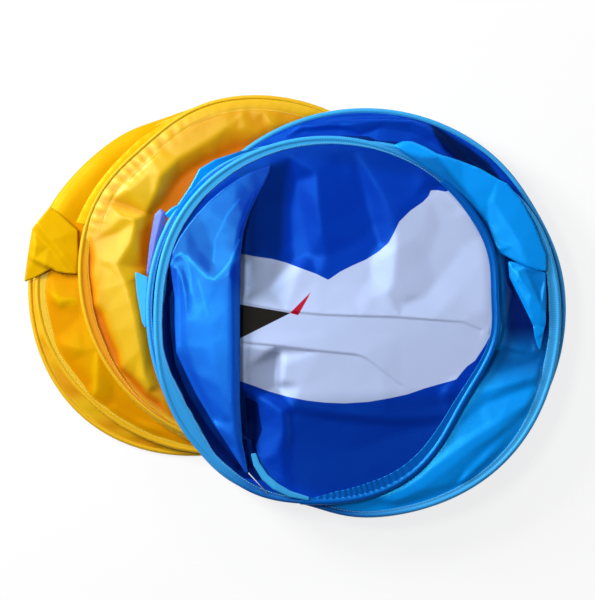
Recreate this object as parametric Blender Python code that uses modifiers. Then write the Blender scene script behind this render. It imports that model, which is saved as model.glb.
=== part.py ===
"""A pop-up play tent folded flat on its folded crawl tunnel.

The tunnel is five sprung hoops, each in a sewn sleeve, with bellows of cloth between them.
The tent lies on it as three stacked turns of sprung wire with cloth walls, floor and roof.
Lengths are in metres, +Z is up, and the lowest hoop rests on z = 0.
"""
import math
from collections import namedtuple

import bmesh
import bpy

# Wire, sleeve and cloth
WIRE_D = 0.0019
FERRULE_WALL = 0.00035
FERRULE_LENGTH = 0.014
CLOTH_T = 0.001
SLEEVE_WALL = 0.0007
SLEEVE_WIDTH = 0.012
GAP = 0.0003
BUTT_GAP = 0.0006

# Folded stack
LIFT = 0.0038
TURN_STEPS = 28
TUNNEL_RADIUS = 0.238
TUNNEL_FOLD = 0.104
TENT_FOLD = 0.108
ROOF_FOLD = 0.085
PUCKER = 0.008
PUCKERS = 7
PUCKER_LIFT = 0.09

# Tent sizes
FLOOR_TURN_RADIUS = 0.268
WALL_TURN_RADIUS = 0.276
ROOF_TURN_RADIUS = 0.2444
PANEL_FOLD_X = -0.0686
PANEL_RETURN = 0.034
PANEL_CROWN = 0.0045
PANEL_WAVE = 0.0014
PANEL_CORNER = 3.0
TAB_WIDTH = 0.0148
TAB_TOP = 0.0433
TAB_BOTTOM = -0.0337
TAPE_WIDTH = 0.010
STRAP_WIDTH = 0.009
STRAP_T = 0.0012
UPPER_PLEAT_WIDTH = 0.0368
RIGHT_PLEAT_WIDTH = 0.046
PLEAT_RISE = 0.0015
PLEAT_RIPPLE = 0.0006
STRIP_WIDTH = 0.013
STRIP_TAPER = 0.35
FLOOR_RIPPLE = 0.0004
FLAP_RISE = 0.004

FERRULE_D = WIRE_D + 2 * (GAP + FERRULE_WALL)
SLOT = max(FERRULE_D + 2 * GAP, 2 * CLOTH_T + 3 * GAP)
SLEEVE_H = SLOT + 2 * SLEEVE_WALL
PITCH = SLEEVE_H + LIFT
WIRE_INSET = SLEEVE_WALL + GAP + FERRULE_D / 2
CLOTH_INSET = SLEEVE_WALL + 2 * GAP + FERRULE_D
CLOTH_Z = (CLOTH_T + (SLOT - 2 * CLOTH_T) / 3) / 2
ON_SLEEVE = SLEEVE_H / 2 + GAP + CLOTH_T / 2

# Where strips of cloth start and end round their turn, in degrees
UPPER_PLEAT_SPAN = (14, 52)
RIGHT_PLEAT_SPAN = (-27, 10)
OUTER_PLEAT_SPAN = (124, 149)
LINING_SPAN = (152, 170)
TAPE_SPAN = (-95, 40)

# Colours, roughness and metallic value
YELLOW = ((0.95, 0.62, 0.02), 0.45, 0.0)
ORANGE = ((0.90, 0.50, 0.01), 0.5, 0.0)
ROYAL_BLUE = ((0.005, 0.05, 0.50), 0.45, 0.0)
NAVY = ((0.003, 0.03, 0.25), 0.5, 0.0)
CYAN = ((0.01, 0.36, 0.85), 0.45, 0.0)
PALE_CYAN = ((0.06, 0.50, 0.92), 0.5, 0.0)
LAVENDER = ((0.30, 0.36, 0.80), 0.5, 0.0)
WHITE = ((0.85, 0.87, 0.95), 0.45, 0.0)
STEEL = ((0.30, 0.30, 0.32), 0.35, 1.0)
BRASS = ((0.70, 0.62, 0.42), 0.35, 1.0)

# A hoop's centre, height and radius. Each dent is where cloth pulls it out of round:
# its angle, its depth inwards and its spread, with both angles in degrees.
Hoop = namedtuple("Hoop", "x y z radius dents ferrule_step")
Crease = namedtuple("Crease", "start end height width")

TUNNEL_CENTRES = (
    (-0.1193, 0.0396),
    (-0.1033, 0.0370),
    (-0.0433, 0.0343),
    (-0.0473, 0.0396),
    (-0.0513, 0.0450),
)
LOWEST_DENTS = ((130, 0.017, 32), (103, 0.010, 14), (230, -0.0155, 37))
SECOND_DENTS = ((130, 0.017, 32), (103, 0.005, 14), (192, -0.010, 30))
TOP_DENTS = ((132, 0.010, 18), (85, 0.003, 35))
TUNNEL_DENTS = (LOWEST_DENTS, SECOND_DENTS, TOP_DENTS, TOP_DENTS, TOP_DENTS)
TUNNEL_HOOPS = [
    Hoop(x, y, SLEEVE_H / 2 + k * PITCH, TUNNEL_RADIUS, dents, (17 + 5 * k) % TURN_STEPS)
    for k, ((x, y), dents) in enumerate(zip(TUNNEL_CENTRES, TUNNEL_DENTS))
]
TENT_Z = TUNNEL_HOOPS[-1].z + SLEEVE_H + GAP
FLOOR_DENTS = ((30, 0.004, 14),)
FLOOR_TURN = Hoop(0.0941, -0.0057, TENT_Z, FLOOR_TURN_RADIUS, FLOOR_DENTS, 3)
WALL_DENTS = ((92, 0.049, 35), (58, 0.022, 19), (315, -0.0105, 30), (256, 0.009, 11), (231, -0.005, 12))
WALL_TURN = Hoop(0.0781, -0.0070, TENT_Z + PITCH, WALL_TURN_RADIUS, WALL_DENTS, 24)
ROOF_DENTS = ((-30, 0.029, 26), (180, 0.015, 30), (8, 0.009, 12), (248, -0.006, 14))
ROOF_TURN = Hoop(0.0420, -0.0200, TENT_Z + 2 * PITCH, ROOF_TURN_RADIUS, ROOF_DENTS, 12)

# The tunnel wall's half fold: how far it reaches in, and how far it climbs, as shares
BELLOWS_LEAF = ((0.0, 0.0), (0.52, 0.10), (0.93, 0.34))

# The turned flap's corners on the second hoop: angle, inset and how much of its rise
FLAP_CORNERS = (
    (157.3, 0.0, 0),
    (158.6, 0.0430, 0),
    (178.0, 0.0600, 1),
    (177.6, 0.0185, 0),
    (181.8, -0.0133, 0),
    (165.2, -0.0075, 1),
)

# The pull strap's middle line
STRAP_PATH = (
    (-0.0540, -0.1980),
    (-0.0500, -0.2120),
    (-0.0390, -0.2290),
    (-0.0250, -0.2410),
    (-0.0060, -0.2510),
    (0.0200, -0.2560),
)

# The folded panel's rows: share of the way to its fold, and height in cloth thicknesses
PANEL_LEAF = ((0.0, 0.0), (0.3, 2.6), (0.6, 5.4), (0.88, 7.6))

# The main folds of the roof's loose cloth: crests, then the hollows beside them
ROOF_CREASES = (
    Crease((0.0014, 0.1813), (0.0394, 0.0663), 0.0065, 0.024),
    Crease((0.0914, 0.1793), (0.1254, 0.0963), 0.0070, 0.024),
    Crease((0.1344, 0.1013), (0.1254, 0.0193), 0.0070, 0.026),
    Crease((-0.0106, -0.0090), (0.2234, -0.0213), 0.0070, 0.024),
    Crease((-0.0246, -0.0537), (0.0954, -0.0697), 0.0065, 0.022),
    Crease((0.0954, -0.0697), (0.1414, -0.1037), 0.0060, 0.022),
    Crease((-0.0146, -0.1427), (-0.0126, -0.2127), 0.0060, 0.022),
    Crease((-0.0340, 0.0950), (-0.0126, 0.0560), -0.0060, 0.024),
    Crease((0.0847, 0.1050), (0.0901, 0.0680), -0.0050, 0.020),
    Crease((-0.0526, -0.0604), (-0.0353, -0.1270), -0.0055, 0.022),
)


def clear_scene():
    for obj in list(bpy.data.objects):
        bpy.data.objects.remove(obj)


def new_collection(name):
    collection = bpy.data.collections.new(name)
    bpy.context.scene.collection.children.link(collection)
    return collection


def material(name, finish):
    colour, roughness, metallic = finish
    made = bpy.data.materials.new(name)
    made.use_nodes = True
    shader = made.node_tree.nodes["Principled BSDF"]
    shader.inputs["Base Color"].default_value = (*colour, 1.0)
    shader.inputs["Roughness"].default_value = roughness
    shader.inputs["Metallic"].default_value = metallic
    made.diffuse_color = (*colour, 1.0)
    return made


def add_object(name, data, finish, collection, parent=None):
    obj = bpy.data.objects.new(name, data)
    collection.objects.link(obj)
    data.materials.append(material(name, finish))
    if parent:
        obj.parent = parent
        obj.location = -parent.location
    return obj


def add_pivot(name, location, collection):
    pivot = bpy.data.objects.new(name, None)
    collection.objects.link(pivot)
    pivot.location = location
    pivot.empty_display_size = 0.03
    return pivot


def poly_curve(name, points, cyclic, flat):
    curve = bpy.data.curves.new(name, "CURVE")
    curve.dimensions = "2D" if flat else "3D"
    spline = curve.splines.new("POLY")
    spline.points.add(len(points) - 1)
    for point, place in zip(spline.points, points):
        point.co = (*place, 1.0)
    spline.use_cyclic_u = cyclic
    return curve


def step_angle(step):
    return 360.0 * step / TURN_STEPS


def path_point(hoop, degrees):
    """A point on the sleeve's outer edge."""
    radius = hoop.radius
    for angle, depth, spread in hoop.dents:
        away = (degrees - angle + 180) % 360 - 180
        radius -= depth * math.exp(-((away / spread) ** 2))
    turn = math.radians(degrees)
    return (hoop.x + radius * math.cos(turn), hoop.y + radius * math.sin(turn))


def hoop_point(hoop, degrees, inset, lift=0.0):
    """A point moved inwards from the outer edge, square to it, and up from the hoop's middle."""
    x, y = path_point(hoop, degrees)
    before = path_point(hoop, degrees - step_angle(1))
    after = path_point(hoop, degrees + step_angle(1))
    share = inset / math.dist(before, after)
    return (x + (before[1] - after[1]) * share, y + (after[0] - before[0]) * share, hoop.z + lift)


def between(a, b, share):
    return tuple(p + (q - p) * share for p, q in zip(a, b))


def rim_point(hoop, degrees, inset, lift=0.0):
    """A point on the straight steps that make up the hoop, so that strips lie true beside it."""
    step = degrees / step_angle(1)
    whole = math.floor(step)
    here = hoop_point(hoop, step_angle(whole), inset, lift)
    return between(here, hoop_point(hoop, step_angle(whole + 1), inset, lift), step - whole)


def rim_angles(start, end):
    """The angles of a strip's rows: its two ends and every half step between them."""
    half = step_angle(0.5)
    first, last = math.floor(start / half) + 1, math.ceil(end / half) - 1
    return [start] + [half * k for k in range(first, last + 1)] + [end]


def add_sleeve_profile(collection):
    """The folded binding's section: a flat U, open towards the middle of the hoop."""
    half, slot = SLEEVE_H / 2, SLOT / 2
    outline = [
        (SLEEVE_WIDTH, slot), (SLEEVE_WALL, slot), (SLEEVE_WALL, -slot), (SLEEVE_WIDTH, -slot),
        (SLEEVE_WIDTH, -half), (SLEEVE_WALL, -half), (0.0, SLEEVE_WALL - half),
        (0.0, half - SLEEVE_WALL), (SLEEVE_WALL, half), (SLEEVE_WIDTH, half),
    ]
    curve = poly_curve("sleeve_profile", [(x, y, 0.0) for x, y in outline], True, True)
    guide = bpy.data.objects.new("sleeve_profile", curve)
    collection.objects.link(guide)
    guide.hide_render = True
    guide.display_type = "WIRE"
    return guide


def add_sleeve(name, hoop, profile, finish, collection, parent):
    path = [hoop_point(hoop, step_angle(k), 0.0, -hoop.z) for k in range(TURN_STEPS)]
    curve = poly_curve(name, path, True, True)
    curve.bevel_mode = "OBJECT"
    curve.bevel_object = profile
    obj = add_object(name, curve, finish, collection, parent)
    obj.location.z += hoop.z
    return obj


def add_wire(name, hoop, collection, parent):
    """The sprung wire: an open ring whose two ends butt inside the ferrule."""
    here = hoop_point(hoop, step_angle(hoop.ferrule_step), WIRE_INSET)
    after = hoop_point(hoop, step_angle(hoop.ferrule_step + 1), WIRE_INSET)
    apart = GAP / math.dist(here, after)
    path = [between(here, after, 0.5 + apart)]
    for step in range(1, TURN_STEPS + 1):
        path.append(hoop_point(hoop, step_angle(hoop.ferrule_step + step), WIRE_INSET))
    path.append(between(here, after, 0.5 - apart))
    curve = poly_curve(name, path, False, False)
    curve.bevel_depth = WIRE_D / 2
    curve.bevel_resolution = 1
    curve.use_fill_caps = True
    add_object(name, curve, STEEL, collection, parent)


def add_ferrule(name, hoop, collection, parent):
    """The crimped tube that joins the wire's ends, along one straight step of the ring."""
    here = hoop_point(hoop, step_angle(hoop.ferrule_step), WIRE_INSET)
    after = hoop_point(hoop, step_angle(hoop.ferrule_step + 1), WIRE_INSET)
    mesh = bpy.data.meshes.new(name)
    shape = bmesh.new()
    outer, inner, end = FERRULE_D / 2, WIRE_D / 2 + GAP, FERRULE_LENGTH / 2
    outline = [(outer, end), (outer, -end), (inner, -end), (inner, end)]
    corners = [shape.verts.new((x, 0.0, z)) for x, z in outline]
    for k, corner in enumerate(corners):
        shape.edges.new((corner, corners[(k + 1) % len(corners)]))
    shape.to_mesh(mesh)
    shape.free()
    obj = add_object(name, mesh, BRASS, collection, parent)
    turned = obj.modifiers.new("turned", "SCREW")
    turned.steps = turned.render_steps = 8
    turned.use_merge_vertices = True
    turned.merge_threshold = 0.00001
    heading = math.atan2(after[1] - here[1], after[0] - here[0])
    obj.rotation_euler = (math.pi / 2, 0.0, heading + math.pi / 2)
    middle = between(here, after, 0.5)
    obj.location = tuple(a + b for a, b in zip(obj.location, middle))


def add_sheet(name, rows, closed, thickness, finish, collection, parent=None, centre=None):
    """Cloth as a grid of points given a thickness. A centre point closes a round panel."""
    mesh = bpy.data.meshes.new(name)
    shape = bmesh.new()
    grid = [[shape.verts.new(point) for point in row] for row in rows]
    across = len(grid[0])
    for low, high in zip(grid, grid[1:]):
        for k in range(across if closed else across - 1):
            following = (k + 1) % across
            shape.faces.new((low[k], low[following], high[following], high[k]))
    if centre:
        hub = shape.verts.new(centre)
        for k in range(across):
            shape.faces.new((grid[-1][k], grid[-1][(k + 1) % across], hub))
    bmesh.ops.recalc_face_normals(shape, faces=shape.faces)
    shape.to_mesh(mesh)
    shape.free()
    obj = add_object(name, mesh, finish, collection, parent)
    cloth = obj.modifiers.new("thickness", "SOLIDIFY")
    cloth.thickness = thickness
    cloth.offset = 0.0
    mesh.shade_smooth()
    return obj


def add_bellows(name, low, high, fold, finish, collection, parent):
    """A tube of cloth folded in between two hoops: a lower leaf, an inner fold and an upper leaf."""
    upper_leaf = tuple((reach, 1.0 - rise) for reach, rise in reversed(BELLOWS_LEAF))
    shares = BELLOWS_LEAF + ((1.0, 0.5),) + upper_leaf
    floor, ceiling = low.z + CLOTH_Z, high.z - CLOTH_Z
    rows = []
    for index, (reach, rise) in enumerate(shares):
        hoop = low if index <= len(BELLOWS_LEAF) else high
        row = []
        for step in range(TURN_STEPS):
            degrees = step_angle(step)
            wave = math.sin(math.radians(degrees) * PUCKERS + low.ferrule_step)
            edge = hoop_point(hoop, degrees, CLOTH_INSET)
            both = (hoop_point(low, degrees, CLOTH_INSET), hoop_point(high, degrees, CLOTH_INSET))
            outer = between(*both, 0.5)
            middle = ((low.x + high.x) / 2, (low.y + high.y) / 2, outer[2])
            inner = between(outer, middle, (fold + PUCKER * wave) / math.dist(outer, middle))
            x, y, _ = between(edge, inner, reach)
            height = floor + (ceiling - floor) * (rise + PUCKER_LIFT * wave * reach * reach)
            row.append((x, y, height))
        rows.append(row)
    add_sheet(name, rows, True, CLOTH_T, finish, collection, parent)


def crease_height(x, y, creases):
    """How far soft crests and hollows lift or lower the cloth at a point."""
    total = 0.0
    for crease in creases:
        (ax, ay), (bx, by) = crease.start, crease.end
        length = (bx - ax) ** 2 + (by - ay) ** 2
        along = max(0.0, min(1.0, ((x - ax) * (bx - ax) + (y - ay) * (by - ay)) / length))
        away = math.dist((x, y), (ax + along * (bx - ax), ay + along * (by - ay)))
        total += crease.height * math.exp(-((away / crease.width) ** 2))
    return total


def add_round_panel(name, hoop, lift, rings, height, finish, collection, parent):
    """A panel sewn into the slot all round a hoop, its face shaped by a height function."""
    slope = 0.03

    def placed(degrees, share):
        edge = hoop_point(hoop, degrees, CLOTH_INSET, lift)
        x, y, z = between(edge, (hoop.x, hoop.y, hoop.z + lift), share)
        loose = max(0.0, min(1.0, (math.dist(edge, (x, y, z)) - SLEEVE_WIDTH) / slope))
        return (x, y, z + loose * height(x, y))

    shares = [0.0, SLEEVE_WIDTH / hoop.radius] + [ring / rings for ring in range(1, rings)]
    rows = [[placed(step_angle(step), share) for step in range(TURN_STEPS)] for share in shares]
    add_sheet(name, rows, True, CLOTH_T, finish, collection, parent, placed(0.0, 1.0))


def add_rim_strip(name, hoop, span, inset, width, lift, finish, collection, parent, rise=0.0, wave=0.0):
    """A strip of cloth beside a hoop, with its near edge at an inset and its ends tapered."""
    start, end = span
    rows = []
    for across in range(4):
        share = across / 3
        row = []
        for k, degrees in enumerate(rim_angles(start, end)):
            swell = math.sin(math.pi * (degrees - start) / (end - start))
            reach = width * share * (STRIP_TAPER + (1.0 - STRIP_TAPER) * swell)
            height = lift + share * (rise + wave * math.sin(2.2 * k))
            row.append(rim_point(hoop, degrees, inset + reach, height))
        rows.append(row)
    add_sheet(name, rows, False, CLOTH_T, finish, collection, parent)


def add_tunnel(profile, collection):
    pivots = []
    for number, hoop in enumerate(TUNNEL_HOOPS, 1):
        pivot = add_pivot(f"tunnel_turn_{number}", (hoop.x, hoop.y, hoop.z), collection)
        pivots.append(pivot)
        add_sleeve(f"tunnel_sleeve_{number}", hoop, profile, YELLOW, collection, pivot)
        add_wire(f"tunnel_wire_{number}", hoop, collection, pivot)
        add_ferrule(f"tunnel_ferrule_{number}", hoop, collection, pivot)
    for number, (low, high) in enumerate(zip(TUNNEL_HOOPS, TUNNEL_HOOPS[1:]), 1):
        name = f"tunnel_wall_{number}"
        add_bellows(name, low, high, TUNNEL_FOLD, ORANGE, collection, pivots[number])
    add_tunnel_flap(collection, pivots[1])


def add_tunnel_flap(collection, parent):
    """The loose corner of end cloth, turned over along one crease on the second hoop."""
    low = ON_SLEEVE + GAP
    mesh = bpy.data.meshes.new("tunnel_flap")
    shape = bmesh.new()
    corners = []
    for degrees, inset, raised in FLAP_CORNERS:
        place = hoop_point(TUNNEL_HOOPS[1], degrees, inset, low + raised * FLAP_RISE)
        corners.append(shape.verts.new(place))
    shape.faces.new([corners[k] for k in (0, 5, 2, 1)])
    shape.faces.new([corners[k] for k in (5, 4, 3, 2)])
    bmesh.ops.subdivide_edges(shape, edges=shape.edges, cuts=2, use_grid_fill=True)
    bmesh.ops.recalc_face_normals(shape, faces=shape.faces)
    shape.to_mesh(mesh)
    shape.free()
    obj = add_object("tunnel_flap", mesh, YELLOW, collection, parent)
    cloth = obj.modifiers.new("thickness", "SOLIDIFY")
    cloth.thickness = CLOTH_T
    cloth.offset = 0.0


def add_folded_panel(collection, parent):
    """The blue side panel, doubled back on itself along a straight fold."""
    hoop = ROOF_TURN
    inset = SLEEVE_WIDTH + GAP
    corner = math.degrees(math.acos((PANEL_FOLD_X - hoop.x) / (hoop.radius - inset))) + PANEL_CORNER
    base = hoop.z + SLEEVE_H / 2 - SLEEVE_WALL + CLOTH_T / 2
    rows = [[] for _ in range(8)]
    angles = rim_angles(corner, 360 - corner)
    for k, degrees in enumerate(angles):
        rim_x, y, _ = rim_point(hoop, degrees, inset)
        along = math.sin(math.pi * k / (len(angles) - 1))
        for row, (share, layers) in enumerate(PANEL_LEAF):
            crown = PANEL_CROWN * math.sin(math.pi * min(1.0, share + 0.12)) * along
            wave = PANEL_WAVE * math.sin(2.4 * k + 2.0 * share) * share
            height = base + layers * CLOTH_T + crown + wave
            rows[row].append((rim_x + (PANEL_FOLD_X - rim_x) * share, y, height))
        doubled = min(PANEL_RETURN, 0.6 * (PANEL_FOLD_X - rim_x))
        rows[4].append((PANEL_FOLD_X - CLOTH_T, y, base + 5.6 * CLOTH_T))
        rows[5].append((PANEL_FOLD_X, y, base + 2.8 * CLOTH_T))
        rows[6].append((PANEL_FOLD_X - CLOTH_T, y, base + 0.4 * CLOTH_T))
        rows[7].append((PANEL_FOLD_X - doubled, y, base + 0.1 * CLOTH_T))
    add_sheet("tent_side_panel", rows, False, CLOTH_T, ROYAL_BLUE, collection, parent)


def add_tab(collection, parent):
    """The fastening tab sewn to the middle turn's outer edge."""
    edge = WALL_TURN.x - WALL_TURN.radius - BUTT_GAP
    outline = [
        (edge, TAB_BOTTOM, 0.0), (edge, TAB_TOP, 0.0),
        (edge - TAB_WIDTH, TAB_TOP, 0.0), (edge - 0.6 * TAB_WIDTH, TAB_BOTTOM, 0.0),
    ]
    curve = poly_curve("tent_tab", outline, True, True)
    curve.fill_mode = "BOTH"
    curve.extrude = STRAP_T / 2
    obj = add_object("tent_tab", curve, CYAN, collection)
    hinge = add_pivot("tent_tab_hinge", (edge, 0.0, WALL_TURN.z + STRAP_T / 2), collection)
    hinge.parent = parent
    hinge.location = tuple(a - b for a, b in zip(hinge.location, parent.location))
    obj.parent = hinge
    obj.location = (-edge, 0.0, -STRAP_T / 2)


def add_strap(collection, parent):
    """The short pull strap across the top turn, at its lower left."""
    height = ROOF_TURN.z + SLEEVE_H / 2 + GAP + STRAP_T / 2
    rows = [[], []]
    for k, (x, y) in enumerate(STRAP_PATH):
        before, after = STRAP_PATH[max(k - 1, 0)], STRAP_PATH[min(k + 1, len(STRAP_PATH) - 1)]
        span = math.dist(before, after)
        side = ((after[1] - before[1]) / span, (before[0] - after[0]) / span)
        for row, half in zip(rows, (STRAP_WIDTH / 2, -STRAP_WIDTH / 2)):
            row.append((x + side[0] * half, y + side[1] * half, height))
    add_sheet("tent_pull_strap", rows, False, STRAP_T, PALE_CYAN, collection, parent)


def add_tent(profile, collection):
    turns = {"floor": FLOOR_TURN, "wall": WALL_TURN, "roof": ROOF_TURN}
    right_edge = FLOOR_TURN.x + FLOOR_TURN.radius
    left_edge = WALL_TURN.x - WALL_TURN.radius
    half_lift = SLEEVE_H / 2 + LIFT / 2
    places = {
        "floor": (FLOOR_TURN.x, FLOOR_TURN.y, FLOOR_TURN.z),
        "wall": (right_edge, FLOOR_TURN.y, FLOOR_TURN.z + half_lift),
        "roof": (left_edge, WALL_TURN.y, WALL_TURN.z + half_lift),
    }
    pivots = {}
    for name, hoop in turns.items():
        pivot = add_pivot(f"tent_{name}_turn", places[name], collection)
        pivots[name] = pivot
        add_sleeve(f"tent_{name}_sleeve", hoop, profile, PALE_CYAN, collection, pivot)
        add_wire(f"tent_{name}_wire", hoop, collection, pivot)
        add_ferrule(f"tent_{name}_ferrule", hoop, collection, pivot)

    def floor_height(x, y):
        return FLOOR_RIPPLE * math.sin(60 * x) * math.sin(50 * y)

    def roof_height(x, y):
        return crease_height(x, y, ROOF_CREASES)

    floor, wall, roof = pivots["floor"], pivots["wall"], pivots["roof"]
    add_round_panel("tent_floor_panel", FLOOR_TURN, -CLOTH_Z, 3, floor_height, NAVY, collection, floor)
    add_bellows("tent_lower_wall", FLOOR_TURN, WALL_TURN, TENT_FOLD, NAVY, collection, wall)
    add_bellows("tent_upper_wall", WALL_TURN, ROOF_TURN, ROOF_FOLD, CYAN, collection, roof)
    add_round_panel("tent_roof_panel", ROOF_TURN, CLOTH_Z, 7, roof_height, WHITE, collection, roof)
    add_folded_panel(collection, roof)

    inside, outside = SLEEVE_WIDTH + GAP, -BUTT_GAP
    on_leg = SLOT / 2 + SLEEVE_WALL / 2 + CLOTH_T / 2
    pleats = (
        ("tent_upper_pleat", UPPER_PLEAT_SPAN, UPPER_PLEAT_WIDTH),
        ("tent_right_pleat", RIGHT_PLEAT_SPAN, RIGHT_PLEAT_WIDTH),
    )
    for name, span, width in pleats:
        add_rim_strip(
            name, WALL_TURN, span, inside, width, on_leg, CYAN, collection, wall, PLEAT_RISE, PLEAT_RIPPLE
        )
    strips = (
        ("tent_outer_pleat", OUTER_PLEAT_SPAN, CYAN),
        ("tent_lining_strip", LINING_SPAN, LAVENDER),
    )
    for name, span, finish in strips:
        add_rim_strip(name, WALL_TURN, span, outside, -STRIP_WIDTH, 0.0, finish, collection, wall)
    tape_inset = (SLEEVE_WIDTH - TAPE_WIDTH) / 2
    add_rim_strip(
        "tent_gather_tape", ROOF_TURN, TAPE_SPAN, tape_inset, TAPE_WIDTH, ON_SLEEVE, NAVY, collection, roof
    )
    add_tab(collection, wall)
    add_strap(collection, roof)


clear_scene()
parts = new_collection("folded play tent and tunnel")
guides = new_collection("guides")
sleeve_profile = add_sleeve_profile(guides)
add_tunnel(sleeve_profile, parts)
add_tent(sleeve_profile, parts)
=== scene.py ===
"""A cloth play tent, folded flat in its three turns of sprung wire, lying on its folded crawl tunnel.

Lengths are in millimetres until a piece is finished, when it is brought to metres.
"""
import math
from collections import namedtuple

import bmesh
import bpy
import numpy as np
from mathutils import Matrix, Vector
from mathutils.geometry import delaunay_2d_cdt


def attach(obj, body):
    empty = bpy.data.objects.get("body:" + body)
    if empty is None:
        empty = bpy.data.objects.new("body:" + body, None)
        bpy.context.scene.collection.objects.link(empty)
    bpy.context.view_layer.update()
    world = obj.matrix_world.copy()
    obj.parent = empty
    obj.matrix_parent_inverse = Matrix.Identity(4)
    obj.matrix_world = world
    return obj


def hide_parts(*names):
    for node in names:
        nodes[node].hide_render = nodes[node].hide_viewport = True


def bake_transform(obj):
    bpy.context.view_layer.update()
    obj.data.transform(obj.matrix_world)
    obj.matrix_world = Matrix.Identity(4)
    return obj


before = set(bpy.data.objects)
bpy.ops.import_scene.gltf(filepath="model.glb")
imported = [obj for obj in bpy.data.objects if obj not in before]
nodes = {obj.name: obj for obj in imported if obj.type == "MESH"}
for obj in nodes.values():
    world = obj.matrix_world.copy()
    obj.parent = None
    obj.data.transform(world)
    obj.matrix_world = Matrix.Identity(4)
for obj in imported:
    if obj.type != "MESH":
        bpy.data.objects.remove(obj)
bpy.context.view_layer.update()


# The studio: a white sweep of floor, four soft boxes and a long lens straight above.
# The floor looks white to the camera and in reflections, but not under the tunnel's bore,
# and it keeps the set's shadow.
def feed(tree, node, inputs):
    """Give each input its value, or link it to the output that feeds it."""
    for title, value in inputs.items():
        if isinstance(value, bpy.types.NodeSocket):
            tree.links.new(value, node.inputs[title])
        else:
            node.inputs[title].default_value = value


def add_node(tree, kind, inputs=None, **settings):
    node = tree.nodes.new(f"ShaderNode{kind}")
    for title, value in settings.items():
        setattr(node, title, value)
    feed(tree, node, inputs or {})
    return node


def new_material(name, constants):
    """A material with its constants on the shader's own sockets, and its tree and shader."""
    made = bpy.data.materials.new(name)
    made.use_nodes = True
    shader = made.node_tree.nodes["Principled BSDF"]
    feed(made.node_tree, shader, constants)
    return made, made.node_tree, shader


floor_mesh = bmesh.new()
bmesh.ops.create_grid(floor_mesh, x_segments=8, y_segments=8, size=6.0)
floor_data = bpy.data.meshes.new("studio_floor")
floor_mesh.to_mesh(floor_data)
floor = bpy.data.objects.new("studio_floor", floor_data)
bpy.context.scene.collection.objects.link(floor)
floor.location.z = -0.0002

floor_paint, tree, paint = new_material(
    "studio_floor", {"Base Color": (0.93, 0.93, 0.93, 1.0), "Roughness": 0.9, "Specular IOR Level": 0.1},
)
bore_centre, bore_edge = (-0.09, 0.038, 0.0), (0.19, 0.215)
glow = add_node(tree, "Emission", {"Strength": 1.0})
seen = add_node(tree, "LightPath").outputs
either = add_node(tree, "Math", {0: seen["Is Camera Ray"], 1: seen["Is Glossy Ray"]}, operation="MAXIMUM")
share = add_node(tree, "Math", {0: either.outputs[0], 1: 0.8}, operation="MULTIPLY")
spot = add_node(tree, "TexCoord").outputs["Object"]
outward = add_node(tree, "VectorMath", {0: spot, 1: bore_centre}, operation="DISTANCE")
clear = add_node(
    tree, "MapRange", {"Value": outward.outputs["Value"], "From Min": bore_edge[0], "From Max": bore_edge[1]},
)
unlit = add_node(tree, "Math", {0: share.outputs[0], 1: clear.outputs[0]}, operation="MULTIPLY")
mixed = add_node(tree, "MixShader", {0: unlit.outputs[0], 1: paint.outputs[0], 2: glow.outputs[0]})
feed(tree, tree.nodes["Material Output"], {"Surface": mixed.outputs[0]})
floor_data.materials.append(floor_paint)

world = bpy.data.worlds.new("studio")
bpy.context.scene.world = world
world.use_nodes = True
tree = world.node_tree
air = tree.nodes["Background"]
feed(tree, air, {"Color": (0.92, 0.95, 1.0, 1.0), "Strength": 0.10})
white = add_node(tree, "Background", {"Strength": 1.0})
seen = add_node(tree, "LightPath").outputs
mixed = add_node(tree, "MixShader", {0: seen["Is Camera Ray"], 1: air.outputs[0], 2: white.outputs[0]})
feed(tree, tree.nodes["World Output"], {"Surface": mixed.outputs[0]})

for name, place, size, power in (
    ("box_left", (-1.1, 0.65, 2.5), (0.6, 0.7), 30.0),
    ("box_low_left", (-1.95, 1.2, 1.15), (0.7, 0.9), 72.0),
    ("box_behind", (0.6, 2.2, 1.5), (1.6, 0.6), 15.0),
    ("box_right", (2.3, -0.2, 1.5), (0.5, 1.2), 6.0),
):
    data = bpy.data.lights.new(name, "AREA")
    data.shape = "RECTANGLE"
    data.size, data.size_y = size
    data.energy = power
    lamp = bpy.data.objects.new(name, data)
    bpy.context.scene.collection.objects.link(lamp)
    lamp.location = place
    lamp.rotation_euler = (-Vector(place)).to_track_quat("-Z", "Y").to_euler()

lens = bpy.data.cameras.new("photo_camera")
lens.sensor_width = 36.0
lens.lens = 180.0
lens.clip_end = 20.0
camera = bpy.data.objects.new("photo_camera", lens)
bpy.context.scene.collection.objects.link(camera)
camera.location = (0.0041, 0.0063, 4.045)
bpy.context.scene.camera = camera
bpy.context.scene.view_settings.view_transform = "Standard"

# The hoops: each is a ring of sprung wire in a sewn sleeve, and cloth pulls it out of round at its dents.
# The lowest two tunnel hoops have slid to the left, and the tent's three turns lie on the top one.
Hoop = namedtuple("Hoop", "x y z radius dents")
tunnel_hoops = [
    Hoop(-119.3, 39.6, 2.6, 238.0, ((130, 17, 32), (103, 10, 14), (230, -15.5, 37))),
    Hoop(-103.3, 37.0, 11.6, 238.0, ((130, 17, 32), (103, 5, 14), (192, -10, 30))),
    Hoop(-43.3, 34.3, 20.6, 238.0, ((132, 10, 18), (85, 3, 35))),
    Hoop(-47.3, 39.6, 29.6, 238.0, ((132, 10, 18), (85, 3, 35))),
    Hoop(-51.3, 45.0, 38.6, 238.0, ((132, 10, 18), (85, 3, 35))),
]
floor_turn = Hoop(94.1, -5.7, 44.1, 268.0, ((30, 4, 14),))
wall_turn = Hoop(
    78.1, -7.0, 53.1, 276.0, ((92, 49, 35), (58, 22, 19), (315, -10.5, 30), (256, 9, 11), (231, -5, 12)),
)
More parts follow.
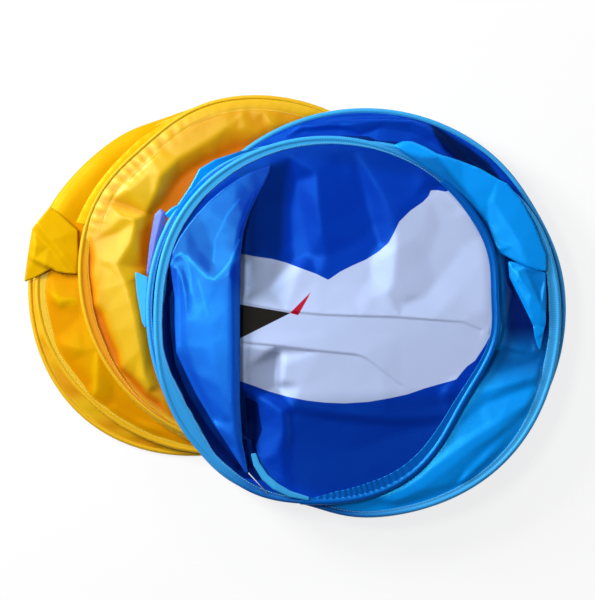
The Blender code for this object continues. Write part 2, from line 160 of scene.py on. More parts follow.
roof_turn = Hoop(42.0, -20.0, 62.1, 244.4, ((-30, 29, 26), (180, 15, 30), (8, 9, 12), (248, -6, 14)))


def rim(hoop, degrees):
    """How far the sleeve's outer edge is from the hoop's centre."""
    reach = np.full(np.shape(degrees), float(hoop.radius))
    for angle, depth, spread in hoop.dents:
        away = (degrees - angle + 180) % 360 - 180
        reach = reach - depth * np.exp(-((away / spread) ** 2))
    return reach


def on_hoop(hoop, degrees, inset):
    """The x and y of points at these angles round a hoop, some way inside its outer edge."""
    reach, radians = rim(hoop, degrees) - inset, np.radians(degrees)
    return hoop.x + reach * np.cos(radians), hoop.y + reach * np.sin(radians)


def around(hoop, points):
    """Each point's angle round the hoop, and how far it lies inside the outer edge."""
    x, y = points[:, 0] - hoop.x, points[:, 1] - hoop.y
    degrees = np.degrees(np.arctan2(y, x))
    return degrees, rim(hoop, degrees) - np.hypot(x, y)


# Wires and ferrules: oiled spring steel, and the crimped tube on each ring's joint.
# They are the solids themselves, inside the bindings.
for name, colour, roughness in (("wire", (0.20, 0.20, 0.21), 0.32), ("ferrule", (0.62, 0.60, 0.55), 0.38)):
    metal, tree, shader = new_material(f"{name}_metal", {"Base Color": (*colour, 1.0), "Metallic": 1.0})
    where = add_node(tree, "TexCoord").outputs["Object"]
    smear = add_node(tree, "TexNoise", {"Vector": where, "Scale": 400.0}).outputs["Fac"]
    spread = {"Value": smear, "To Min": roughness - 0.08, "To Max": roughness + 0.12}
    feed(tree, shader, {"Roughness": add_node(tree, "MapRange", spread).outputs[0]})
    for node in nodes:
        if name in node:
            nodes[node].data.materials.clear()
            nodes[node].data.materials.append(metal)


# Sleeve bindings: ribbed tape folded round the wire, with the wire in a bead at the outer edge.
# The flat part of the tape is stitched down on the cloth, close to its inner edge.
def mix_colours(tree, share, near, far):
    """An output that goes from one colour to the other. Either of them may be an output too."""
    inputs = {"Factor": share}
    for title, end in (("A", near), ("B", far)):
        inputs[title] = end if isinstance(end, bpy.types.NodeSocket) else (*end, 1.0)
    return add_node(tree, "Mix", inputs, data_type="RGBA").outputs["Result"]


def ribbed_tape(name, colour, gloss, rib, shade_colour=None):
    """Tape with ribs this far apart, with shade painted in its shade colour where it faces away from the
    light.
    """
    constants = {"Roughness": 0.42, "IOR": 1.6, "Specular IOR Level": 0.7, "Specular Tint": (*gloss, 1.0)}
    made, tree, shader = new_material(name, constants)
    where = add_node(tree, "TexCoord").outputs["UV"]
    scale = 6.2832 / rib * 0.05
    ribs = add_node(
        tree, "TexWave", {"Vector": where, "Scale": scale, "Distortion": 0.5}, bands_direction="X",
    ).outputs["Fac"]
    tint = mix_colours(tree, ribs, [0.72 * part for part in colour], colour)
    if shade_colour:
        away = add_node(tree, "Attribute", attribute_name="away").outputs["Fac"]
        tint = mix_colours(tree, away, tint, shade_colour)
    bump = add_node(tree, "Bump", {"Distance": 0.0001, "Height": ribs})
    feed(tree, shader, {"Base Color": tint, "Normal": bump.outputs[0]})
    return made


# How much shade is painted on each tape round its hoop, where it faces away from the light.
tent_tape_shade = (
    [0, 60, 150, 185, 203, 234, 246, 266, 290, 360],
    [0.25, 0.15, 0.0, 0.0, 0.34, 0.42, 1.0, 1.0, 0.3, 0.25],
)
lit_all_round = ([0, 360], [0.0, 0.0])
top_tape_shade = ([0, 160, 172, 190, 235, 250, 360], [0.0, 0.0, 0.45, 0.85, 1.0, 0.4, 0.0])
roof_tape_shade = (
    [0, 55, 76, 150, 185, 203, 234, 246, 266, 290, 360],
    [1.0, 1.0, 0.15, 0.0, 0.0, 0.34, 0.42, 1.0, 1.0, 1.0, 1.0],
)
BEAD_RADIUS, BEAD_RISE = 3.2, 2.6
TAPE_START, TAPE_END = 6.4, 12.4
MEAN_RADIUS = 250.0  # spaces what goes round any hoop
# Strips that follow a hoop are first spun at one radius, where x and y still tell angle and inset.
SPUN = 500.0


def at_angle(degrees, angles, values):
    """What a table of values round a hoop, from 0 to 360 degrees, gives at these angles."""
    return np.interp(degrees % 360, angles, values)


def places(bm):
    return np.array([vert.co[:] for vert in bm.verts])


def move(bm, points):
    for vert, point in zip(bm.verts, points):
        vert.co = point


def spin_strip(section, start=0.0, end=360.0, step=2.0):
    """Sweep a section of (inset, z) points round a circle, with one row for each step in millimetres."""
    bm = bmesh.new()
    line = [bm.verts.new((SPUN - inset, 0.0, z)) for inset, z in section]
    edges = [bm.edges.new(pair) for pair in zip(line, line[1:])]
    bmesh.ops.rotate(bm, verts=line, matrix=Matrix.Rotation(math.radians(start), 3, "Z"))
    closed = abs(end - start) >= 360
    angle = math.radians(end - start)
    steps = round(angle * MEAN_RADIUS / step)
    bmesh.ops.spin(bm, geom=line + edges, axis=(0, 0, 1), angle=angle, steps=steps, use_merge=closed)
    if closed:
        bmesh.ops.remove_doubles(bm, verts=bm.verts, dist=0.01)
    return bm


def spun(points):
    """The angle and the inset of a spun strip's points."""
    return np.degrees(np.arctan2(points[:, 1], points[:, 0])), SPUN - np.hypot(points[:, 0], points[:, 1])


def set_inset(points, inset):
    points[:, :2] *= ((SPUN - inset) / np.hypot(points[:, 0], points[:, 1]))[:, None]


def seat_on(bm, hoop):
    """Lay a spun strip on a hoop's real outline."""
    points = places(bm)
    points[:, 0], points[:, 1] = on_hoop(hoop, *spun(points))
    move(bm, points)


def finish_piece(name, bm, material, thickness=0.0):
    bmesh.ops.scale(bm, vec=(0.001, 0.001, 0.001), verts=bm.verts)
    bmesh.ops.recalc_face_normals(bm, faces=bm.faces)
    mesh = bpy.data.meshes.new(name)
    bm.to_mesh(mesh)
    bm.free()
    piece = bpy.data.objects.new(name, mesh)
    bpy.context.scene.collection.objects.link(piece)
    mesh.materials.append(material)
    mesh.shade_smooth()
    if thickness:
        ply = piece.modifiers.new("thickness", "SOLIDIFY")
        ply.thickness = thickness / 1000.0
        ply.offset = 0.0
    return piece


def mark(piece, title, values):
    """Hold a value at each vertex, for the piece's material."""
    layer = piece.data.attributes.new(title, "FLOAT", "POINT")
    layer.data.foreach_set("value", values.astype(np.float32))


def add_binding(name, hoop, material, body, node, widths, turned):
    """The section's flat part is drawn in or out to the tape's width at each angle, with a slight ripple."""
    section = [
        (BEAD_RADIUS - BEAD_RADIUS * math.cos(turn), BEAD_RISE * math.sin(turn))
        for turn in np.radians(range(-150, 151, 25))
    ]
    section += [(6.8, 0.9), (9.4, 1.0), (11.6, 0.85), (TAPE_END, 0.0), (11.6, -0.85), (6.8, -0.9), section[0]]
    bm = spin_strip(section, step=3.0)
    points = places(bm)
    degrees, inset = spun(points)
    tape = np.clip(inset - TAPE_START, 0.0, None)
    share = (at_angle(degrees, *widths) - TAPE_START) / (TAPE_END - TAPE_START)
    ripple = np.sin(np.radians(degrees) * 61) + 1.5 * np.sin(np.radians(degrees) * 23 + 1.0)
    set_inset(points, np.minimum(inset, TAPE_START) + tape * share + 0.12 * ripple * share * (tape > 3))
    layer = bm.loops.layers.uv.new("along")
    move(bm, points)
    for face in bm.faces:
        middle = face.calc_center_median()
        base = math.atan2(middle.y, middle.x)
        for loop in face.loops:
            x, y, _ = loop.vert.co
            turn = base + (math.atan2(y, x) - base + math.pi) % (2 * math.pi) - math.pi
            loop[layer].uv = (turn * hoop.radius / 1000.0, (SPUN - math.hypot(x, y)) / 1000.0)
    bmesh.ops.translate(bm, vec=(0.0, 0.0, hoop.z), verts=bm.verts)
    seat_on(bm, hoop)
    piece = finish_piece(name, bm, material)
    # How much shade is painted on this tape; the yellow tape's bead takes none.
    shade_on_tape = at_angle(degrees, *turned)
    if material is yellow_tape:
        shade_on_tape = shade_on_tape * (inset > 5.0)
    mark(piece, "away", shade_on_tape)
    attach(piece, body)
    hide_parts(node)


# The width of each tape, round its hoop.
narrow = ([0, 360], [7.2, 7.2])
second = ([0, 165, 180, 196, 212, 224, 245, 262, 360], [8.0, 14.0, 16.0, 14.0, 10.5, 9.5, 11.0, 9.0, 7.2])
top = ([0, 164, 172, 186, 206, 226, 240, 360], [7.2, 7.2, 14.0, 17.0, 15.0, 9.0, 7.2, 7.2])
floor_widths = ([0, 360], [8.0, 8.0])
wall_widths = ([0, 12, 30, 60, 200, 270, 320, 345, 360], [17.0, 16.0, 9.0, 8.0, 9.0, 9.0, 13.0, 17.0, 17.0])
roof_widths = (
    [0, 60, 75, 84, 100, 130, 160, 173, 190, 198, 206, 215, 224, 231, 245, 258, 268, 360],
    [8.0, 8.0, 9.5, 11.0, 12.5, 14.5, 13.5, 12.7, 12.0, 17.0, 22.5, 24.5, 20.0, 14.0, 12.5, 10.0, 8.0, 8.0],
)
# The last colour given to each tape is the shade painted on it.
piping, piping_shade = (0.86, 0.46, 0.001), (0.74, 0.24, 0.0003)
yellow_tape = ribbed_tape("yellow_piping", piping, (0.8, 0.9, 0.25), 0.0012, piping_shade)
for number, (hoop, widths) in enumerate(zip(tunnel_hoops, (narrow, second, narrow, narrow, top)), 1):
    add_binding(
        f"tunnel_binding_{number}", hoop, yellow_tape, f"tunnel_turn_{number}",
        f"tunnel_sleeve_{number}", widths, top_tape_shade if number == 5 else lit_all_round,
    )
sky_tape = ribbed_tape("sky_blue_tape", (0.045, 0.44, 0.95), (0.2, 0.8, 1.0), 0.0024, (0.0005, 0.08, 0.38))
for name, hoop, body, widths, turned in (
    ("tent_floor", floor_turn, "tunnel_turn_5", floor_widths, tent_tape_shade),
    ("tent_wall", wall_turn, "tent_wall_turn", wall_widths, tent_tape_shade),
    ("tent_roof", roof_turn, "tent_roof_turn", roof_widths, roof_tape_shade),
):
    add_binding(f"{name}_binding", hoop, sky_tape, body, f"{name}_sleeve", widths, turned)

# Lockstitch along the inner edge of each visible tape, in polyester thread of the tape's colour.
# It holds the tape down on the cloth, and each stitch is short and stands up a little.
STITCH = (2.4, 0.55, 0.4)
yellow_thread, blue_thread = (0.95, 0.72, 0.12), (0.25, 0.62, 1.0)


def add_stitches(name, places_and_turns, colour, body):
    thread, tree, shader = new_material(name, {"Roughness": 0.6})
    twist = add_node(tree, "TexNoise", {"Scale": 2500.0}).outputs["Fac"]
    feed(tree, shader, {"Base Color": mix_colours(tree, twist, [0.75 * part for part in colour], colour)})
    bm = bmesh.new()
    for x, y, z, turn in places_and_turns:
        lie = Matrix.Translation((x, y, z)) @ Matrix.Rotation(turn, 4, "Z") @ Matrix.Diagonal((*STITCH, 1.0))
        bmesh.ops.create_cube(bm, size=1.0, matrix=lie)
    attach(finish_piece(name, bm, thread), body)


def seam_on(hoop, widths, level, back=1.7, pitch=3.8):
    """Where each stitch of a tape's seam lies, a little back from the edge, and which way it runs."""
    radians = np.arange(0.0, 2 * math.pi, pitch / MEAN_RADIUS)
    degrees = np.degrees(radians)
    x, y = on_hoop(hoop, degrees, at_angle(degrees, *widths) - back)
    return zip(x, y, np.full(len(x), level), radians + math.pi / 2)


for name, hoop, widths, colour, slot, body in (
    ("tunnel_stitches_1", tunnel_hoops[0], narrow, yellow_thread, "tunnel_binding", "tunnel_turn_1"),
    ("tunnel_stitches_2", tunnel_hoops[1], second, yellow_thread, "tunnel_binding", "tunnel_turn_2"),
    ("tunnel_stitches_5", tunnel_hoops[4], top, yellow_thread, "tunnel_binding", "tunnel_turn_5"),
    ("tent_wall_stitches", wall_turn, wall_widths, blue_thread, "tent_binding", "tent_wall_turn"),
    ("tent_roof_stitches", roof_turn, roof_widths, blue_thread, "tent_binding", "tent_roof_turn"),
):
    add_stitches(name, seam_on(hoop, widths, hoop.z + 1.05), colour, body)

# Taffeta: thin woven polyester with a satin sheen, in each of the set's colours.
# Its grain, slubs and the slight change of tone between threads come from one group.
# Where shade is painted on it, yellow cloth is more orange and blue cloth darker, with fainter gloss.
weave = bpy.data.node_groups.new("taffeta_weave", "ShaderNodeTree")
for way, title, kind in (
    ("INPUT", "Colour", "Color"), ("INPUT", "Thread", "Float"), ("INPUT", "Tone", "Float"),
    ("OUTPUT", "Colour", "Color"), ("OUTPUT", "Roughness", "Float"), ("OUTPUT", "Height", "Float"),
):
    weave.interface.new_socket(title, in_out=way, socket_type=f"NodeSocket{kind}")
given = weave.nodes.new("NodeGroupInput").outputs
where = add_node(weave, "TexCoord").outputs["Object"]
warp, weft = (
    add_node(weave, "TexWave", {
        "Vector": where, "Scale": given["Thread"], "Distortion": 0.6, "Detail": 1.0, "Detail Scale": 0.4,
    }, bands_direction=direction).outputs["Fac"] for direction in ("X", "Y")
)
slub = add_node(weave, "TexNoise", {"Vector": where, "Scale": 320.0, "Detail": 3.0}).outputs["Fac"]
cloud = add_node(weave, "TexNoise", {"Vector": where, "Scale": 14.0, "Detail": 2.0}).outputs["Fac"]
crossed = add_node(weave, "Math", {0: warp, 1: weft}, operation="ADD").outputs[0]
height = add_node(weave, "Math", {0: slub, 1: 1.2, 2: crossed}, operation="MULTIPLY_ADD").outputs[0]
centred = add_node(weave, "MapRange", {"Value": cloud, "To Min": -1.0}).outputs[0]
swing = add_node(weave, "Math", {0: centred, 1: given["Tone"], 2: 1.0}, operation="MULTIPLY_ADD").outputs[0]
toned = add_node(weave, "VectorMath", {0: given["Colour"], "Scale": swing}, operation="SCALE").outputs[0]
rough = add_node(weave, "MapRange", {"Value": slub, "To Min": 0.31, "To Max": 0.42}).outputs[0]
feed(weave, weave.nodes.new("NodeGroupOutput"), {"Colour": toned, "Roughness": rough, "Height": height})


def add_weave(tree, shader, tone):
    """Lead the weave's grain into a shader. What it returns still needs its colour."""
    cloth = add_node(tree, "Group", node_tree=weave)
    feed(tree, cloth, {"Thread": 420.0, "Tone": tone})
    bump = add_node(tree, "Bump", {"Distance": 0.00002, "Height": cloth.outputs["Height"]})
    feed(tree, shader, {"Base Color": cloth.outputs["Colour"], "Roughness": cloth.outputs["Roughness"]})
    feed(tree, shader, {"Normal": bump.outputs[0]})
    return cloth


def taffeta(name, colour, gloss, ior=1.75, shade_colour=None, sheen=0.8, shade_gloss_green=0.4):
    constants = {"IOR": ior, "Specular IOR Level": sheen, "Specular Tint": (*gloss, 1.0)}
    made, tree, shader = new_material(name, constants)
    cloth = add_weave(tree, shader, 0.06)
    cloth.inputs["Colour"].default_value = (*colour, 1.0)
    # Painted shade: where the attribute is 1, the colour is the shade colour and the gloss is fainter.
    if shade_colour:
        shade_share = add_node(tree, "Attribute", attribute_name="painted_shade").outputs["Fac"]
        shaded_gloss = (0.6 * gloss[0], shade_gloss_green * gloss[1], 0.4 * gloss[2])
        feed(tree, cloth, {"Colour": mix_colours(tree, shade_share, colour, shade_colour)})
        feed(tree, shader, {"Specular Tint": mix_colours(tree, shade_share, gloss, shaded_gloss)})
    return made


# Cloth walls between hoops: a skin from rim to rim,
# and the slack of the same cloth folded in between them.
yellow_taffeta = taffeta(
    "yellow_taffeta", (0.72, 0.42, 0.0005), (0.75, 0.9, 0.42), shade_colour=(0.60, 0.14, 0.0002), sheen=0.5,
)
cyan_taffeta = taffeta(
    "cyan_taffeta", (0.0005, 0.30, 1.0), (0.06, 0.7, 1.0), 1.9, shade_colour=(0.0005, 0.006, 0.13), shade_gloss_green=0.2,
)
navy_taffeta = taffeta("navy_taffeta", (0.0005, 0.008, 0.11), (0.01, 0.12, 0.6))
SLOT = 4.6  # how far inside the outer edge the cloth enters a sleeve


def ramp(values, start, end):
    """0 up to the start, 1 from the end on, and even in between."""
    return np.clip((values - start) / (end - start), 0.0, 1.0)


def add_wall(name, low, high, node, material, reach, double, hold, dip=0.0):
    """The skin runs level over its share `hold` of the way, then climbs to the upper hoop.

    In the section, heights up to 100 stand for the skin's share of the way, and those from 200 for the leaf.
    """
    bottom, end = low.z + 0.8, high.z - 3.4
    steps = [0.0, 0.03, 0.25 * hold, 0.5 * hold, 0.75 * hold]
    steps += [hold + (1 - hold) * k / 12 for k in range(13)]
    skin = [(SLOT + 1.5 * math.sin(math.pi * step), 100.0 * step) for step in steps]
    leaf = [(SLOT + (reach - SLOT) * k / 12, 200.0 + 0.4 * k / 12) for k in range(1, 13)]
    if double:
        leaf += [(reach, 201.1)]
        leaf += [(SLOT + (reach - SLOT) * k / 12, 202.9 - k / 12) for k in range(11, -1, -1)]
    bm = spin_strip(skin + leaf, step=6.0)
    points = places(bm)
    degrees, inset = spun(points)
    radians = np.radians(degrees)
    on_leaf = points[:, 2] > 150.0
    share = np.where(on_leaf, 1.0, points[:, 2] / 100.0)
    climb = ramp(share, hold, 1.0)
    level = bottom + (end - bottom) * climb - dip * ramp(share, 0.0, 0.03) * (1 - climb)
    pucker = np.sin(radians * 23 + low.z) * np.sin(radians * 7)
    slack = ramp(inset, 12.0, 32.0)
    inset = inset + 3.0 * pucker * slack + 1.6 * np.sin(radians * 41) * np.sin(math.pi * share) * ~on_leaf
    points[:, 2] = np.where(on_leaf, end + points[:, 2] - 200.0 + 0.5 * (pucker + 1.0) * slack, level)
    for axis, (below, above) in enumerate(zip(on_hoop(low, degrees, inset), on_hoop(high, degrees, inset))):
        points[:, axis] = below * (1 - share) + above * share
    move(bm, points)
    piece = finish_piece(name, bm, material, 0.4)
    if low is tunnel_hoops[0]:
        # Painted shade: orange patches on the lowest wall at the lower left.
        shade_patches = np.clip(0.6 + np.sin(radians * 17) * np.sin(radians * 5 + 1), 0, 1)
        mark(piece, "painted_shade", 0.5 * at_angle(degrees, [175, 195, 262, 275], [0, 1, 1, 0]) * shade_patches)
    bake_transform(piece)
    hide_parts(node)


for number, (low, high) in enumerate(zip(tunnel_hoops, tunnel_hoops[1:]), 1):
    double = number < 4
    add_wall(
        f"tunnel_wall_cloth_{number}", low, high,
        f"tunnel_wall_{number}", yellow_taffeta, 104.0 if double else 60.0, double,
        0.7 if number == 2 else 0.1,
    )
add_wall(
    "tent_lower_wall_cloth", floor_turn, wall_turn, "tent_lower_wall",
    navy_taffeta, 60.0, False, 0.6, 0.6,
)
add_wall(
    "tent_upper_wall_cloth", wall_turn, roof_turn, "tent_upper_wall",
    cyan_taffeta, 14.0, False, 0.8, 7.0,
)


# The tunnel's mouth: the slack of the top section, crumpled in the top hoop with crisp folds.
# Its outer edge is a wide stitched channel, puckered along the stitching.
# Like all loose cloth here, it is laid over creases, which are lines of (x, y, level), and softened.
def nearest_on(points, line):
    """For each point, its distance from a line of (x, y, level), and the level there."""
    far = np.full(len(points), 1e9)
    value = np.zeros(len(points))
    for start, end in zip(line, line[1:]):
        a, b = np.array(start[:2], float), np.array(end[:2], float)
        run = b - a
        t = np.clip((points[:, :2] - a) @ run / (run @ run), 0.0, 1.0)
        distance = np.hypot(*(points[:, :2] - a - t[:, None] * run).T)
        better = distance < far
        far = np.where(better, distance, far)
        if len(start) > 2:
            value = np.where(better, start[2] + (end[2] - start[2]) * t, value)
    return far, value


def is_inside(points, outline):
    x, y = points[:, 0], points[:, 1]
    inside = np.zeros(len(points), bool)
    for (ax, ay), (bx, by) in zip(outline, [*outline[1:], outline[0]]):
        at = ax + (y - ay) / ((by - ay) or 1e-9) * (bx - ax)
        inside ^= ((ay > y) != (by > y)) & (x < at)
    return inside


def signed_distance(points, outline):
    """Distance from an outline, positive inside it."""
    far = nearest_on(points, [*outline, outline[0]])[0]
    return np.where(is_inside(points, outline), far, -far)


def within(points, outline, fade):
    """1 inside an outline and 0 outside, over a soft edge."""
    return np.clip(signed_distance(points, outline) / fade + 0.5, 0.0, 1.0)


def drape(points, lines):
    """The level of cloth pulled straight between creases. Each crease is a line of (x, y, level)."""
    corners, levels, creases = [], [], []
    for line in lines:
        for k, (x, y, level) in enumerate(line):
            corners.append(Vector((x, y)))
            levels.append(level)
            if k:
                creases.append((len(corners) - 2, len(corners) - 1))
    made, _, facets, origins, _, _ = delaunay_2d_cdt(corners, creases, [], 0, 0.01)
    flat = np.array([corner[:] for corner in made])
    long_lines = [line for line in lines if len(line) > 1]
    known = []
    for corner, origin in zip(made, origins):
        if origin:
            known.append(sum(levels[k] for k in origin) / len(origin))
        else:
            spot = np.array([corner[:]])
            nearest = min((nearest_on(spot, line) for line in long_lines), key=lambda pair: pair[0][0])
            known.append(nearest[1][0])
    level = np.full(len(points), np.nan)
    x, y = points[:, 0], points[:, 1]
    for facet in facets:
        (ax, ay), (bx, by), (cx, cy) = flat[list(facet)]
        area = (bx - ax) * (cy - ay) - (cx - ax) * (by - ay)
        if abs(area) < 1e-6:
            continue
        near = np.nonzero(
            (x >= min(ax, bx, cx)) & (x <= max(ax, bx, cx)) & (y >= min(ay, by, cy)) & (y <= max(ay, by, cy))
        )[0]
        v = ((x[near] - ax) * (cy - ay) - (cx - ax) * (y[near] - ay)) / area
        w = ((bx - ax) * (y[near] - ay) - (x[near] - ax) * (by - ay)) / area
        covered = (v >= -1e-6) & (w >= -1e-6) & (v + w <= 1 + 1e-6)
        za, zb, zc = (known[k] for k in facet)
        level[near[covered]] = za + v[covered] * (zb - za) + w[covered] * (zc - za)
    for k in np.nonzero(np.isnan(level))[0]:
        level[k] = known[int(np.argmin(np.hypot(*(flat - points[k, :2]).T)))]
    return level


def crumple(points, height, size, seed):
    """Small flat facets all over, as in taffeta that has been folded before."""
    chance = np.random.RandomState(seed)
    low, high = points[:, :2].min(0) - 2 * size, points[:, :2].max(0) + 2 * size
    lines = []
    for x in np.arange(low[0], high[0], size):
        for y in np.arange(low[1], high[1], size):
            shift = chance.uniform(-0.5, 0.5, 2) * size
            lines.append([(x + shift[0], y + shift[1], chance.uniform(-height, height))])
    return drape(points, lines)


def lay(points, creases, facets=None, share=1.0):
    """Lay cloth over its creases, with this share of small facets of (height, size, seed)."""
    points[:, 2] = drape(points, creases)
    if facets:
        points[:, 2] += crumple(points, *facets) * share


def soften(bm, steps, hold=None):
    """Round the cloth's creases, but not those near a held line."""
    loose = list(bm.verts)
    if hold:
        far = np.min([nearest_on(places(bm), line)[0] for line in hold], axis=0)
        loose = [vert for vert, distance in zip(bm.verts, far) if distance > 5.0]
    for _ in range(steps):
        bmesh.ops.smooth_vert(bm, verts=loose, factor=0.5, use_axis_z=True)


def rim_line(hoop, inset, level, start=0, end=360, step=10):
    """A crease that follows a hoop, some way inside its outer edge."""
    x, y = on_hoop(hoop, np.arange(start, end + 1, step), inset)
    return [(*spot, level) for spot in zip(x, y)]


def keep_under(points, hoop, level):
    """Keep cloth below a hoop that lies over it."""
    outside = np.clip(-around(hoop, points)[1], 0.0, None)
    points[:, 2] = np.minimum(points[:, 2], level + 1.2 * outside)


def strip_on(hoop, first, pitch, rows, start=0.0, end=360.0, step=2.2):
    """A flat strip on a hoop, in rows from the first inset inwards, with its points, angles and insets."""
    bm = spin_strip([(first + pitch * k, 0.0) for k in range(rows)], start, end, step)
    seat_on(bm, hoop)
    points = places(bm)
    return bm, points, *around(hoop, points)


def finish_cloth(name, bm, material, slot, thickness, body, shade_depths=None, node=None, **sheet):
    """Finish a sheet, with its painted shade if given. The node is what it replaces."""
    piece = finish_piece(name, bm, material, thickness)
    if shade_depths is not None:
        mark(piece, "painted_shade", shade_depths)
    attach(piece, body)
    if node:
        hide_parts(node)
    return piece


top_hoop = tunnel_hoops[4]
mouth_creases = [
    [(-269, 90, 42), (-263, 114, 42), (-250, 140, 42), (-230, 169, 42), (-209, 196, 42), (-190, 213, 42.5),
     (-167, 226, 43), (-141, 241, 43), (-114, 250, 43), (-94, 260, 43), (-67, 264, 42.5), (-41, 264, 42),
     (-14, 260, 41.5), (30, 250, 41)],
    [(-71, 256, 44), (-89, 237, 45), (-119, 216, 45), (-153, 196, 45.6), (-178, 172, 49)],
    [(-198, 201, 46), (-193, 177, 47.5), (-190, 153, 47), (-196, 124, 45)],
    [(-178, 172, 50), (-186, 149, 48), (-196, 124, 45)],
    [(-221, 154, 48.5), (-207, 138, 47), (-196, 124, 45)],
    [(-218, 129, 42), (-206, 124, 42.5), (-196, 122, 43)],
    [(-266, 90, 43), (-246, 102, 46), (-229, 117, 49), (-213, 114, 50)],
    [(-261, 87, 43), (-235, 96, 45), (-219, 106, 47.5)],
    [(-213, 112, 50), (-218, 84, 50), (-237, 53, 49.5), (-225, 29, 51.2), (-217, 2, 52.4),
     (-210, -30, 52.4), (-205, -60, 51.4), (-199, -100, 49.2), (-194, -111, 47.5)],
    [(-270, 86, 42.5), (-266, 61, 44.5), (-268, 38, 44.2), (-265, 18, 43.8), (-264, 1, 43.4),
     (-254, -10, 43.6), (-246, -35, 43.5), (-234, -62, 43.5), (-230, -82, 43.4), (-213, -96, 43.2),
     (-195, -116, 43), (-179, -127, 42.5)],
    [(-273, 82, 38), (-270, 60, 37), (-272, 37, 36.5), (-269, 18, 36), (-268, -2, 36), (-258, -14, 36),
     (-250, -38, 36), (-238, -65, 36), (-234, -86, 36), (-217, -100, 36), (-199, -121, 36),
     (-181, -132, 36)],
    [(-275, 92, 38), (-276, 40, 37), (-273, -3, 37), (-259, -40, 37), (-243, -82, 37), (-222, -108, 37),
     (-198, -134, 37), (-178, -151, 37)],
    [(-262, 45, 45), (-249, 49, 46.6), (-238, 50, 49.3)],
    [(-73, 256, 42.5), (-55, 246, 42), (-39, 237, 41), (-26, 228, 39)],
    [(-41, 256, 44), (-33, 241, 44.5), (-14, 232, 42)],
    [(-43, 250, 42), (-37, 237, 41.5), (-21, 228, 39)],
    [(-78, 232, 43), (-65, 236, 44), (-51, 229, 42), (-35, 220, 37)],
    [(-75, 212, 37), (-103, 198, 36.8), (-122, 190, 36.6), (-142, 178, 36.6), (-155, 168, 36.8),
     (-166, 153, 37.5), (-179, 134, 38), (-190, 124, 39)],
    [(-93, 200, 36.6), (-119, 181, 36.6), (-142, 156, 36.8), (-166, 124, 37)],
    [(-190, 105, 38), (-191, 80, 37), (-195, 49, 37), (-199, 33, 38), (-197, 6, 41), (-194, -34, 42),
     (-191, -74, 42), (-179, -111, 41)],
    [(-53, 46, 34), (-53, -127, 35)],
    [(-153, 6, 34), (-153, -60, 34), (-106, -114, 34)],
    [(7, 206, 33), (74, 206, 34), (141, 140, 34), (141, -60, 34)],
    rim_line(top_hoop, 5.0, 39.6), rim_line(top_hoop, 9.0, 38.4, 170, 300),
]
channel_widths = ([60, 100, 120, 140, 168], [20, 20, 22, 23, 20])
bm, points, degrees, inset = strip_on(top_hoop, SLOT, 2.1, 54)
seam = at_angle(degrees, [60, 95, 163, 172, 300], [1, 1, 1, 0, 0])
puckers = np.sin(np.radians(degrees) * 88 + 2.0 * np.sin(np.radians(degrees) * 13))
lay(points, mouth_creases, (0.15, 16.0, 1), ramp(inset, 8.0, 18.0))
width = at_angle(degrees, *channel_widths)
across = ramp(inset, 6.0, width)
gathered = at_angle(degrees, [60, 112, 124, 160, 172], [0.08, 0.16, 0.75, 0.9, 0.2])
channel = 39.4 + 2.8 * across + np.sin(across * math.pi) * (1.5 + gathered * puckers)
points[:, 2] = np.where(inset < width, points[:, 2] * (1 - seam) + channel * seam, points[:, 2])
beyond = np.clip(inset - width, 0.0, None)
points[:, 2] += seam * 0.6 * gathered * puckers * np.exp(-beyond / 6.0) * (inset > width)
under_tape = inset < at_angle(degrees, *top) - 1.0
points[:, 2] = np.where(under_tape, np.minimum(points[:, 2], 39.0 + 2.0 * seam), points[:, 2])
keep_under(points, floor_turn, 40.2)
keep_under(points, wall_turn, 49.2)
move(bm, points)
soften(bm, 6)
points = places(bm)
points[:, 2] -= 0.8 * seam * np.exp(-(((inset - width) / 1.1) ** 2))
move(bm, points)
in_channel = seam * (inset < width)
# Painted shade: more orange the lower the cloth lies, less in the channel, more in the hollows between
# puckers and in one dip.
shade_depths = np.clip((46.5 - points[:, 2]) / 9.0, 0.0, 1.0) * ramp(inset, 6.0, 16.0) * (1.0 - 0.7 * in_channel)
shade_depths += 0.45 * gathered * in_channel * np.sin(across * math.pi) * np.clip(0.3 - puckers, 0.0, 1.0)
shaded_dip = [(-209, 97), (-194, 108), (-193, 46), (-206, 57)]
shade_depths += 0.5 * within(points, shaded_dip, 8.0)
turns = np.arange(62.0, 171.0, 0.9)
stitches = []
for turn, x, y in zip(np.radians(turns), *on_hoop(top_hoop, turns, at_angle(turns, *channel_widths))):
    level = points[np.argmin(np.hypot(points[:, 0] - x, points[:, 1] - y)), 2]
    stitches.append((x, y, level + 0.55, turn + math.pi / 2))
add_stitches("tunnel_channel_stitches", stitches, yellow_thread, "tunnel_turn_5")
finish_cloth(
    "tunnel_mouth_cloth", bm, yellow_taffeta, "tunnel_cloth", 0.5, "tunnel_turn_5", shade_depths,
    flat=(0.115, 1.25), held="folded", rests_on=["tunnel_binding_5"],
)

# The channel's outer fold: a flat lip of the same cloth outside the top hoop at the upper left.
# It is widest at its lower end, and turns down a little at its edge.
# The lip, the shoulder and the end flap take a darker, less glossy copy of the yellow taffeta: painted shade.
shaded_yellow = taffeta(
    "shaded_yellow_taffeta", (0.66, 0.36, 0.0003), (0.9, 0.75, 0.03), shade_colour=(0.64, 0.19, 0.0002), sheen=0.3,
)
lip_widths = ([116, 124, 132, 141, 149, 155, 160, 165], [0.0, 3.0, 7.5, 6.5, 6.0, 7.0, 8.5, 10.5])
bm = spin_strip([(2.0 - k, 0.0) for k in range(12)], 116.0, 165.0, step=1.6)
points = places(bm)
degrees, inset = spun(points)
along = (2.0 - inset) / 11.0
set_inset(points, 2.0 - along * (2.5 + np.interp(degrees, *lip_widths)))
points[:, 2] = 40.2 - 2.6 * along ** 2 + 0.25 * np.sin(np.radians(degrees) * 88) * along
move(bm, points)
seat_on(bm, top_hoop)
